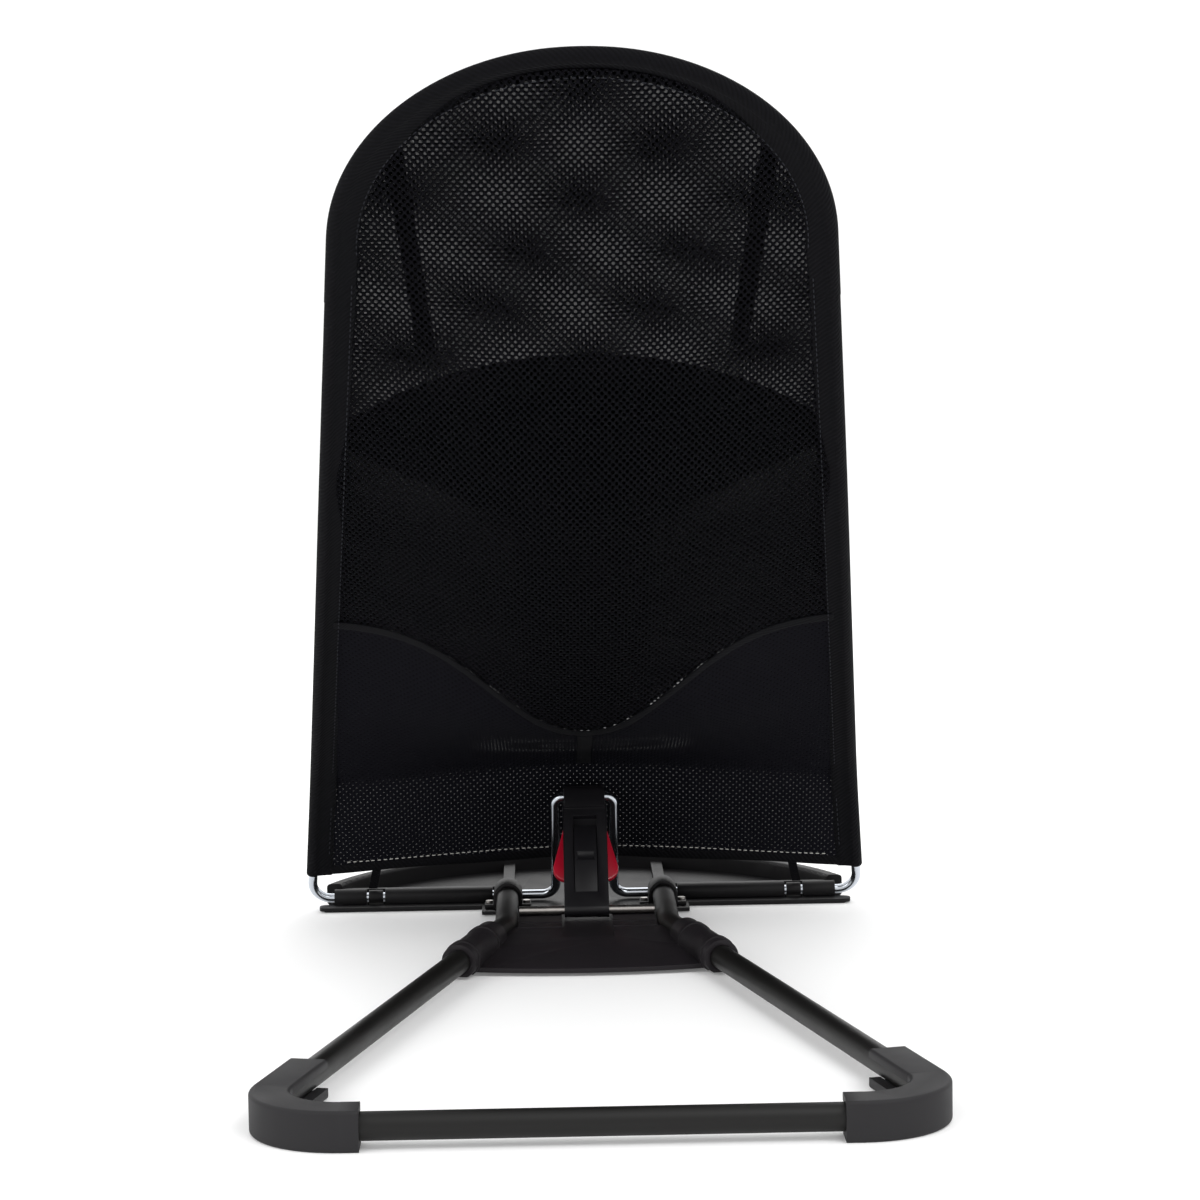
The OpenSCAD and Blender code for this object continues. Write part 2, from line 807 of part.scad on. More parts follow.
leg_steps = 14;
function leg_point(u, i, depth) =
    let (low = hem_start + hem_height + 0.4, t = low + (seam_at(u) - 0.4 - low) * i / leg_steps)
    cloth_at(u * inner_half(t, edge), t, depth);

module leg_panel() {
    color("#24262c")
        sheet([for (i = [0 : leg_steps]) [for (u = grid_u) leg_point(u, i, 0)]],
            [for (i = [0 : leg_steps]) [for (u = grid_u) leg_point(u, i, cloth)]]);
}

function strip_point(u, t, depth) = cloth_at(u * inner_half(t, edge + 1), t, depth);

// Tape sewn under the join between the back panel and the leg panel
module pouch_seam() {
    color("#121317")
        sheet([for (step = [-4, 0, 4]) [for (u = grid_u) strip_point(u, seam_at(u) + step, cloth + lay)]],
            [for (step = [-4, 0, 4]) [for (u = grid_u) strip_point(u, seam_at(u) + step, cloth + lay + 0.8)]]);
}

// Tape down the middle of the leg panel
module leg_seam() {
    rows = [for (i = [0 : 8]) foot_run + 8 + (seam_side - seam_dip - foot_run - 16) * i / 8];
    color("#121317")
        sheet([for (t = rows) [for (x = [-5, 0, 5]) cloth_at(x, t, cloth + lay)]],
            [for (t = rows) [for (x = [-5, 0, 5]) cloth_at(x, t, cloth + lay + 0.8)]]);
}

module hem_binding() {
    color("#15161a")
        sheet([for (t = [hem_start, hem_start + hem_height]) [for (u = grid_u) strip_point(u, t, -0.5)]],
            [for (t = [hem_start, hem_start + hem_height]) [for (u = grid_u) strip_point(u, t, cloth + 0.5)]]);
}

// Rings round the pivot run that the hem straps hook on
module strap_clips() {
    color("#1b1c1f")
        for (side = [-1, 1])
            translate([side * clip_x, pivot_y, pivot_height])
                rotate([0, 90, 0])
                    difference() {
                        cylinder(h = 10, r = wire_d / 2 + 1.75, center = true, $fn = 48);
                        cylinder(h = 20, d = wire_d + 2 * casing_slack, center = true, $fn = 48);
                    }
}

module hem_straps() {
    color("#101114")
        for (side = [-1, 1])
            translate([side * clip_x, pivot_y, pivot_height])
                rotate([foot_slope, 0, 0])
                    translate([-3, 5.3, 0])
                        cube([6, hem_start - 6, 1.2]);
}

// The restraint flap: narrow between the legs, with an arm to each side at its upper edge
flap_rows = [for (i = [0 : 24]) i / 24];
flap_low = seam_side - seam_dip + 8;
function flap_half(v) = 42 + (flap_width / 2 - 42) * ease((v - 0.72) / 0.22);
function flap_edge(u) = flap_top - 58 * u * u;
function flap_raise(u, v) = cloth + 2.5 + 20 * ease(v / 0.5) * (1 - 0.6 * u * u);
function flap_at(u, v, depth) =
    cloth_at(u * flap_half(v), flap_low + (flap_edge(u) - flap_low) * v, depth - flap_raise(u, v));

module restraint_flap() {
    color("#2a2c33")
        sheet([for (v = flap_rows) [for (u = grid_u) flap_at(u, v, -flap_thickness)]],
            [for (v = flap_rows) [for (u = grid_u) flap_at(u, v, 0)]]);
}

// Round buttons on the flap's upper corners
module flap_buttons() {
    color("#1c1d20")
        for (side = [-1, 1])
            translate(flap_at(side * 0.86, 0.93, -flap_thickness - 1.5))
                rotate([slope_at(470), 0, 0])
                    cylinder(h = 4.5, d = button_d, $fn = 64);
}

base_tube();
corner_foot_left();
corner_foot_right();
front_tray();
tray_grips();
tube_clamps();
clamp_screws();
run_cover_left();
run_cover_right();
prop_deck();
crank_wire();
prop_strut();
foot_rod();
release_wings();
release_pad();
seat_wire();
head_casing();
side_casing_left();
side_casing_right();
back_panel();
back_lining();
leg_panel();
pouch_seam();
leg_seam();
hem_binding();
hem_straps();
strap_clips();
restraint_flap();
flap_buttons();
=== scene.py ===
"""Bouncer seat: the looks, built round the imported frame.

Every length is in metres unless a name ends in _mm. +Z is up, the foot end is at -Y and the head end at +Y.
"""

import json
import logging
import math
import random
from dataclasses import dataclass
from enum import Enum
from typing import Callable, Iterable, Optional, Sequence

import bpy
from mathutils import Matrix, Vector


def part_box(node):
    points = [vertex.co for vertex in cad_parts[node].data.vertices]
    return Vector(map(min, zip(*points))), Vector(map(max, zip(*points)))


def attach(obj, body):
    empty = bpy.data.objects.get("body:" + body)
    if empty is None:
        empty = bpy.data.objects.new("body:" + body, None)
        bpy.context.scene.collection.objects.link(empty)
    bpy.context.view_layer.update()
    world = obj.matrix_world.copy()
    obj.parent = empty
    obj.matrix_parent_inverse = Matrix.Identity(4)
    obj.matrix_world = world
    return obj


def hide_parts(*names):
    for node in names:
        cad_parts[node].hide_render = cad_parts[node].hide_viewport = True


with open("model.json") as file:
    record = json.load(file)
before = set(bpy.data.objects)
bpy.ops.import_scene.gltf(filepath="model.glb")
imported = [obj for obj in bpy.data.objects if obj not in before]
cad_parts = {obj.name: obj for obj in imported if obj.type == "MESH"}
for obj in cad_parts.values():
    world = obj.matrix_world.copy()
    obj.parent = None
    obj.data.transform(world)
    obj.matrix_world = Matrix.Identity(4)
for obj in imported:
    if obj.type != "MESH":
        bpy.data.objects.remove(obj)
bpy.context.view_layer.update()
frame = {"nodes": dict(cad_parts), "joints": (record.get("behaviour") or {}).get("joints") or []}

log = logging.getLogger("bouncer_seat")
logging.basicConfig(level=logging.INFO, format="%(name)s: %(message)s")

MM = 0.001
MERGE_DISTANCE = 0.000004
SHARP_EDGE = math.radians(50.0)
Point = tuple[float, float, float]
Spot = tuple[float, float]


# ---------------------------------------------------------------- small tools


def ease(v: float) -> float:
    """Smooth step from 0 to 1."""
    v = min(1.0, max(0.0, v))
    return v * v * (3.0 - 2.0 * v)


def linear_colour(code: str) -> tuple[float, float, float, float]:
    """Turn an sRGB hex colour into linear light.

    Args:
        code: the colour, such as "#a0b0c0".

    Returns:
        Red, green, blue and an alpha of 1.
    """
    parts = [int(code[i:i + 2], 16) / 255.0 for i in (1, 3, 5)]
    red, green, blue = [c / 12.92 if c <= 0.04045 else ((c + 0.055) / 1.055) ** 2.4 for c in parts]
    return red, green, blue, 1.0


def add_node(
    tree: bpy.types.NodeTree,
    kind: str,
    inputs: Optional[dict] = None,
    **settings: object,
) -> bpy.types.Node:
    """Add one node with its settings, its constants and its links.

    Args:
        tree: the node tree.
        kind: the node's type name without the "ShaderNode" prefix.
        inputs: socket name or number to a constant or to the socket that feeds it.
        settings: the node's own properties.

    Returns:
        The new node.
    """
    node = tree.nodes.new("ShaderNode" + kind)
    for name, value in settings.items():
        setattr(node, name, value)
    for key, value in (inputs or {}).items():
        if isinstance(value, bpy.types.NodeSocket):
            tree.links.new(value, node.inputs[key])
        else:
            node.inputs[key].default_value = value
    return node


def only(obj: bpy.types.Object) -> None:
    """Select one object alone and make it active.

    Args:
        obj: the object.
    """
    bpy.ops.object.select_all(action="DESELECT")
    obj.select_set(True)
    bpy.context.view_layer.objects.active = obj


def bake_modifier(obj: bpy.types.Object, kind: str, **settings: object) -> None:
    """Add a modifier and apply it.

    Args:
        obj: the object.
        kind: the modifier's type.
        settings: the modifier's properties.
    """
    only(obj)
    modifier = obj.modifiers.new(kind.title(), kind)
    for name, value in settings.items():
        setattr(modifier, name, value)
    bpy.ops.object.modifier_apply(modifier=modifier.name)


def smooth(obj: bpy.types.Object, degrees: float) -> None:
    """Shade smooth except over sharp edges.

    Args:
        obj: the piece.
        degrees: the angle past which an edge stays sharp.
    """
    only(obj)
    bpy.ops.object.shade_smooth_by_angle(angle=math.radians(degrees))


def mesh_object(
    name: str,
    points: Sequence[Point],
    faces: Sequence[Sequence[int]],
    uvs: Sequence[Spot],
) -> bpy.types.Object:
    """Make an object from points and faces, with one UV for each point.

    Args:
        name: the piece's name.
        points: the places of the points.
        faces: the faces, as point numbers.
        uvs: the flat place of each point, in metres.

    Returns:
        The new object.
    """
    mesh = bpy.data.meshes.new(name)
    mesh.from_pydata([tuple(p) for p in points], [], [tuple(f) for f in faces])
    mesh.validate()
    layer = mesh.uv_layers.new(name="cloth")
    for loop in mesh.loops:
        layer.data[loop.index].uv = uvs[loop.vertex_index]
    obj = bpy.data.objects.new(name, mesh)
    bpy.context.scene.collection.objects.link(obj)
    return obj


def grid_object(
    name: str,
    rows: Sequence[Sequence[Point]],
    uvs: Sequence[Sequence[Spot]],
    closed: bool = False,
) -> bpy.types.Object:
    """Make a sheet from rows of points.

    Args:
        name: the piece's name.
        rows: the points, row by row.
        uvs: the flat place of each point, in metres.
        closed: whether the last column joins the first.

    Returns:
        The new object.
    """
    cols = len(rows[0])
    points = [p for row in rows for p in row]
    flat = [p for row in uvs for p in row]
    faces = []
    for i in range(len(rows) - 1):
        for j in range(cols if closed else cols - 1):
            k = (j + 1) % cols
            faces.append((i * cols + j, i * cols + k, (i + 1) * cols + k, (i + 1) * cols + j))
    return mesh_object(name, points, faces, flat)


def close_ends(obj: bpy.types.Object, sides: int) -> None:
    """Fill the open ends of a tube.

    Args:
        obj: the tube.
        sides: how many points its outline has.
    """
    only(obj)
    bpy.ops.object.mode_set(mode="EDIT")
    bpy.ops.mesh.select_all(action="DESELECT")
    bpy.ops.mesh.select_non_manifold()
    bpy.ops.mesh.fill_holes(sides=sides)
    bpy.ops.object.mode_set(mode="OBJECT")


def finish_faces(obj: bpy.types.Object, degrees: float) -> None:
    """Point all faces outwards and shade them smooth.

    Args:
        obj: the piece.
        degrees: the angle past which an edge stays sharp.
    """
    only(obj)
    bpy.ops.object.mode_set(mode="EDIT")
    bpy.ops.mesh.select_all(action="SELECT")
    bpy.ops.mesh.normals_make_consistent(inside=False)
    bpy.ops.object.mode_set(mode="OBJECT")
    smooth(obj, degrees)


def softened_copy(node: str, name: str, width_mm: float) -> bpy.types.Object:
    """Copy a CAD node, join its loose triangles and round its sharp edges.

    Args:
        node: the CAD node's name.
        name: the new piece's name.
        width_mm: how wide the rounding is.

    Returns:
        The new piece, which still has to ride, replace and be dressed.
    """
    source = frame["nodes"][node]
    obj = source.copy()
    obj.data = source.data.copy()
    obj.name = name
    obj.parent = None
    obj.data.materials.clear()
    for key in [k for k in obj.keys() if k.startswith("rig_")]:
        del obj[key]
    bpy.context.scene.collection.objects.link(obj)
    only(obj)
    bpy.ops.object.mode_set(mode="EDIT")
    bpy.ops.mesh.select_all(action="SELECT")
    bpy.ops.mesh.remove_doubles(threshold=MERGE_DISTANCE)
    bpy.ops.mesh.customdata_custom_splitnormals_clear()
    bpy.ops.mesh.dissolve_limited(angle_limit=math.radians(1.0))
    bpy.ops.object.mode_set(mode="OBJECT")
    bake_modifier(
        obj, "BEVEL", width=width_mm * MM, segments=2, limit_method="ANGLE",
        angle_limit=SHARP_EDGE, use_clamp_overlap=True, harden_normals=False,
    )
    smooth(obj, 35.0)
    return obj


# ---------------------------------------------------------------- finishes


def new_material(name: str) -> bpy.types.Material:
    """Make a material with an empty node tree.

    Args:
        name: the material's name.

    Returns:
        The material.
    """
    material = bpy.data.materials.new(name)
    material.use_nodes = True
    material.node_tree.nodes.clear()
    return material


def shades(code: str, dark: float, light: float) -> tuple[tuple[float, ...], tuple[float, ...]]:
    """A darker and a lighter shade of one colour.

    Args:
        code: the colour in sRGB hex.
        dark: the share of its light in the darker shade.
        light: the share of its light in the lighter shade.

    Returns:
        Both shades in linear light, with an alpha of 1.
    """
    base = Vector(linear_colour(code)[:3])
    return tuple(base * dark) + (1.0,), tuple(base * light) + (1.0,)


class Weave(Enum):
    """The knits in the seat, each with its pitch and hole across and along, in millimetres."""

    OPEN = ((4.3, 5.6), (1.9, 2.7))
    LINING = ((4.3, 5.6), (2.5, 3.4))
    FINE = ((4.6, 5.0), (0.9, 1.3))
    CLOSED = ((2.4, 2.6), (0.0, 0.0))


@dataclass(frozen=True)
class Finish:
    """A finish with one base colour and a fine surface.

    Attributes:
        name: the material's name.
        colour: the base colour in sRGB hex.
        rough: the roughness.
        metallic: 1 for bare metal, otherwise 0.
        grain_mm: the size of the surface's grain.
        grain_depth: the strength of the grain's bump.
        mottle: how far the colour wanders, as a share.
        coat: the strength of a clear top layer.
        gloss: how strongly the surface mirrors, 0.5 being the usual for plastic.
    """

    name: str
    colour: str
    rough: float
    metallic: float = 0.0
    grain_mm: float = 0.6
    grain_depth: float = 0.15
    mottle: float = 0.12
    coat: float = 0.0
    gloss: float = 0.5

    def build(self) -> bpy.types.Material:
        """Make the material.

        Returns:
            The material.
        """
        material = new_material(self.name)
        tree = material.node_tree
        place = add_node(tree, "TexCoord")
        grain = add_node(tree, "TexNoise", {
            "Vector": place.outputs["Object"], "Scale": 1.0 / (self.grain_mm * MM), "Detail": 3.0,
            "Roughness": 0.55,
        })
        cloud = add_node(tree, "TexNoise", {
            "Vector": place.outputs["Object"], "Scale": 35.0, "Detail": 4.0,
        })
        dark, light = shades(self.colour, 1.0 - self.mottle, 1.0 + self.mottle)
        tint = add_node(tree, "Mix", {
            0: cloud.outputs["Fac"], 6: dark, 7: light,
        }, data_type="RGBA")
        wear = add_node(tree, "MapRange", {
            "Value": cloud.outputs["Fac"], "To Min": self.rough * 0.85, "To Max": min(1.0, self.rough * 1.2),
        })
        bump = add_node(tree, "Bump", {
            "Height": grain.outputs["Fac"], "Strength": self.grain_depth, "Distance": 0.0002,
        })
        shader = add_node(tree, "BsdfPrincipled", {
            "Base Color": tint.outputs[2], "Roughness": wear.outputs["Result"],
            "Metallic": self.metallic, "Normal": bump.outputs["Normal"], "Specular IOR Level": self.gloss,
        })
        if self.coat:
            shader.inputs["Coat Weight"].default_value = self.coat
            shader.inputs["Coat Roughness"].default_value = 0.08
        add_node(tree, "OutputMaterial", {"Surface": shader.outputs[0]})
        return material


@dataclass(frozen=True)
class KnitMesh:
    """A warp-knitted spacer mesh with offset rows of small holes, drawn on the cloth's own flat measure.

    Attributes:
        name: the material's name.
        colour: the yarn's colour in sRGB hex.
        pitch_mm: the distance between holes across and along the cloth.
        hole_mm: the size of a hole across and along, or zero for a closed knit.
        open_share: how much light the spacer yarns in a hole let past, at the foot end and at the head end.
        open_span: where along the cloth that share changes, in metres.
        turn: how far the rows lean, in degrees.
    """

    name: str
    colour: str
    pitch_mm: tuple[float, float]
    hole_mm: tuple[float, float]
    open_share: tuple[float, float] = (0.0, 0.0)
    open_span: tuple[float, float] = (0.40, 0.50)
    turn: float = 0.0

    def build(self) -> bpy.types.Material:
        """Make the material.

        Returns:
            The material.
        """
        material = new_material(self.name)
        tree = material.node_tree
        flat = add_node(tree, "UVMap", uv_map="cloth")
        across, along = self.pitch_mm
        wide, high = (size if size else 0.5 * pitch for size, pitch in zip(self.hole_mm, self.pitch_mm))
        lean = add_node(tree, "Mapping", {
            "Vector": flat.outputs["UV"], "Rotation": (0.0, 0.0, math.radians(self.turn)),
        })
        distances = []
        for shift in (0.0, 0.5):
            cell = add_node(tree, "Mapping", {
                "Vector": lean.outputs["Vector"], "Location": (shift, shift, 0.0),
                "Scale": (1.0 / (across * MM), 1.0 / (along * MM), 0.0),
            })
            part = add_node(tree, "VectorMath", {0: cell.outputs["Vector"]}, operation="FRACTION")
            middle = add_node(tree, "VectorMath", {
                0: part.outputs["Vector"], 1: (0.5, 0.5, 0.0),
            }, operation="SUBTRACT")
            size = add_node(tree, "VectorMath", {
                0: middle.outputs["Vector"], 1: (2.0 * across / wide, 2.0 * along / high, 0.0),
            }, operation="MULTIPLY")
            distances.append(add_node(tree, "VectorMath", {0: size.outputs["Vector"]}, operation="LENGTH"))
        near = add_node(tree, "Math", {
            0: distances[0].outputs["Value"], 1: distances[1].outputs["Value"],
        }, operation="MINIMUM")
        fray = add_node(tree, "TexNoise", {"Vector": flat.outputs["UV"], "Scale": 900.0, "Detail": 1.0})
        loose = add_node(tree, "Math", {
            0: fray.outputs["Fac"], 1: 0.5, 2: near.outputs["Value"],
        }, operation="MULTIPLY_ADD")
        yarn = add_node(tree, "MapRange", {
            "Value": loose.outputs["Value"], "From Min": 1.15, "From Max": 1.40,
        })
        crown = add_node(tree, "MapRange", {
            "Value": loose.outputs["Value"], "From Min": 1.0, "From Max": 2.1,
        }, interpolation_type="SMOOTHSTEP")
        # Painted light and shade: the yarn is painted at a quarter of its colour round the holes, as shade,
        # and at 1.6 times it on the crowns between them, as light.
        painted_hollow_shade, painted_crown_light = shades(self.colour, 0.25, 1.6)
        tint = add_node(tree, "Mix", {
            0: crown.outputs["Result"], 6: painted_hollow_shade, 7: painted_crown_light,
        }, data_type="RGBA")
        bump = add_node(tree, "Bump", {
            "Height": crown.outputs["Result"], "Strength": 0.6, "Distance": 0.0006,
        })
        shader = add_node(tree, "BsdfPrincipled", {
            "Base Color": tint.outputs[2], "Roughness": 0.85, "Normal": bump.outputs["Normal"],
            "Specular IOR Level": 0.05,
        })
        if max(self.open_share) > 0:
            place = add_node(tree, "SeparateXYZ", {"Vector": flat.outputs["UV"]})
            stretch = add_node(tree, "MapRange", {
                "Value": place.outputs["Y"], "From Min": self.open_span[0], "From Max": self.open_span[1],
                "To Min": 1.0 - self.open_share[0], "To Max": 1.0 - self.open_share[1],
            }, interpolation_type="SMOOTHSTEP")
            cover = add_node(tree, "Math", {
                0: yarn.outputs["Result"], 1: stretch.outputs["Result"],
            }, operation="MAXIMUM")
            tree.links.new(cover.outputs["Value"], shader.inputs["Alpha"])
        add_node(tree, "OutputMaterial", {"Surface": shader.outputs[0]})
        return material


@dataclass(frozen=True)
class WovenTape:
    """A narrow woven or ribbed tape, drawn along its own length.

    Attributes:
        name: the material's name.
        colour: the yarn's colour in sRGB hex.
        rib_mm: the distance between ribs.
        slope: how far the ribs lean, in turns along for each turn across.
    """

    name: str
    colour: str
    rib_mm: float = 1.6
    slope: float = 1.0

    def build(self) -> bpy.types.Material:
        """Make the material.

        Returns:
            The material.
        """
        material = new_material(self.name)
        tree = material.node_tree
        flat = add_node(tree, "UVMap", uv_map="cloth")
        lean = add_node(tree, "Mapping", {
            "Vector": flat.outputs["UV"], "Rotation": (0.0, 0.0, math.atan(self.slope)),
            "Scale": (1.0, 1.0, 0.0),
        })
        ribs = add_node(tree, "TexWave", {
            "Vector": lean.outputs["Vector"], "Scale": 0.314 / (self.rib_mm * MM), "Distortion": 1.2,
            "Detail": 2.0, "Detail Scale": 2.0,
        }, wave_type="BANDS", bands_direction="X")
        fuzz = add_node(tree, "TexNoise", {"Vector": flat.outputs["UV"], "Scale": 700.0, "Detail": 2.0})
        height = add_node(tree, "Math", {
            0: fuzz.outputs["Fac"], 1: 0.4, 2: ribs.outputs["Fac"],
        }, operation="MULTIPLY_ADD")
        # Painted light and shade: the grooves between the ribs are painted darker and the ribs lighter,
        # following the rib wave.
        painted_groove_shade, painted_rib_light = shades(self.colour, 0.55, 1.4)
        tint = add_node(tree, "Mix", {
            0: ribs.outputs["Fac"], 6: painted_groove_shade, 7: painted_rib_light,
        }, data_type="RGBA")
        bump = add_node(tree, "Bump", {
            "Height": height.outputs["Value"], "Strength": 0.5, "Distance": 0.0004,
        })
        shader = add_node(tree, "BsdfPrincipled", {
            "Base Color": tint.outputs[2], "Roughness": 0.85, "Normal": bump.outputs["Normal"],
            "Specular IOR Level": 0.12,
        })
        add_node(tree, "OutputMaterial", {"Surface": shader.outputs[0]})
        return material


AnyFinish = Finish | KnitMesh | WovenTape


@dataclass(frozen=True)
class Palette:
    """Every finish on the object."""

    # Baked powder coat on a steel tube: satin black with a faint orange peel.
    tube_paint: Finish = Finish(
        "powder_coated_steel", "#0c0b0a", 0.45, grain_mm=0.7, grain_depth=0.2, gloss=0.3)
    # Moulded rubber: dull charcoal, a little uneven where it has been handled.
    rubber: Finish = Finish(
        "moulded_rubber", "#1f1e20", 0.62, grain_mm=0.5, grain_depth=0.25, mottle=0.2, gloss=0.3)
    # ABS from a spark-eroded mould: a fine even grain that spreads the light.
    abs_black: Finish = Finish(
        "spark_eroded_abs", "#09080a", 0.5, grain_mm=0.5, grain_depth=0.35, gloss=0.2)
    # Glass-filled nylon: a warm dark grey with a cloudy sheen.
    deck_nylon: Finish = Finish(
        "glass_filled_nylon", "#1c191c", 0.5, grain_mm=0.6, grain_depth=0.3, gloss=0.2)
    # Unfilled nylon: darker and smoother than the deck.
    arm_nylon: Finish = Finish(
        "dense_nylon", "#131215", 0.4, grain_mm=0.4, grain_depth=0.2, gloss=0.25)
    # Chromed spring wire: bright and cool, with sharp reflections.
    bright_wire: Finish = Finish(
        "bright_chromed_wire", "#c4c9d0", 0.16, metallic=1.0, grain_mm=2.0, grain_depth=0.04, mottle=0.06)
    # Cold-drawn steel: bare grey metal with softer reflections.
    rod_steel: Finish = Finish(
        "drawn_steel_rod", "#aaa6a2", 0.3, metallic=1.0, grain_mm=0.8, grain_depth=0.12, mottle=0.1)
    # ABS from a polished mould: saturated red under a clear gloss.
    release_red: Finish = Finish(
        "glossy_red_abs", "#b0102a", 0.3, grain_mm=0.4, grain_depth=0.08, coat=0.3)
    # Warp-knitted polyester spacer mesh: matt black yarn, light passing through the holes.
    back_mesh: KnitMesh = KnitMesh("open_knit_mesh", "#060609", *Weave.OPEN.value, (0.40, 0.62))
    # The same mesh behind it, cut a little off the grain: the two layers beat in soft clouds.
    lining_mesh: KnitMesh = KnitMesh(
        "open_knit_lining", "#050508", *Weave.LINING.value, (0.10, 0.42), (0.36, 0.52), turn=3.2)
    # A finer spacer mesh: pin-prick holes that close up towards the pouch.
    leg_mesh: KnitMesh = KnitMesh("fine_knit_mesh", "#07070b", *Weave.FINE.value, (0.26, 0.04), (0.12, 0.26))
    # Closed jersey over wadding: the darkest and softest cloth.
    flap_knit: KnitMesh = KnitMesh("closed_knit_facing", "#040406", *Weave.CLOSED.value)
    # Ribbed polyester casing cloth: slanting ribs, drawn coarser than they are so that they show.
    band_tape: WovenTape = WovenTape("ribbed_casing_cloth", "#050508", 2.4, 1.0)
    # Twill tape: steep narrow ribs.
    seam_tape: WovenTape = WovenTape("twill_seam_tape", "#060609", 1.5, 1.6)
    # Plain woven tape, dyed dark red.
    red_tape: WovenTape = WovenTape("dark_red_tape", "#5a1512", 1.5, 0.0)
    # Spun polyester thread in off-white and in charcoal.
    thread: WovenTape = WovenTape("polyester_thread", "#c9c7c2", 0.5, 1.0)
    dark_thread: WovenTape = WovenTape("dark_polyester_thread", "#2a2b30", 0.5, 1.0)


class Dresser:
    """Builds each finish once and puts it on pieces."""

    def __init__(self) -> None:
        """Start with no finish built."""
        self.built: dict[str, bpy.types.Material] = {}

    def dress(self, obj: bpy.types.Object, finish: AnyFinish) -> None:
        """Give a piece one finish all over.

        Args:
            obj: the piece.
            finish: one of the palette's finishes.
        """
        if finish.name not in self.built:
            self.built[finish.name] = finish.build()
        material = self.built[finish.name]
        if obj.data.materials:
            for i in range(len(obj.data.materials)):
                obj.data.materials[i] = material
        else:
            obj.data.materials.append(material)


PALETTE = Palette()
DRESSER = Dresser()


def place_piece(
    obj: bpy.types.Object, body: str, finish: AnyFinish, replaces: Iterable[str] = (),
) -> bpy.types.Object:
    """Dress a finished piece and tie it to the frame.

    Args:
        obj: the piece.
        body: the body that it rides on.
        finish: one of the palette's finishes.
        replaces: CAD nodes that it stands for.

    Returns:
        The piece.
    """
    DRESSER.dress(obj, finish)
    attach(obj, body)
    if replaces:
        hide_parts(*replaces)
    log.info("%s: %d faces on %s", obj.name, len(obj.data.polygons), body)
    return obj


# ---------------------------------------------------------------- seat


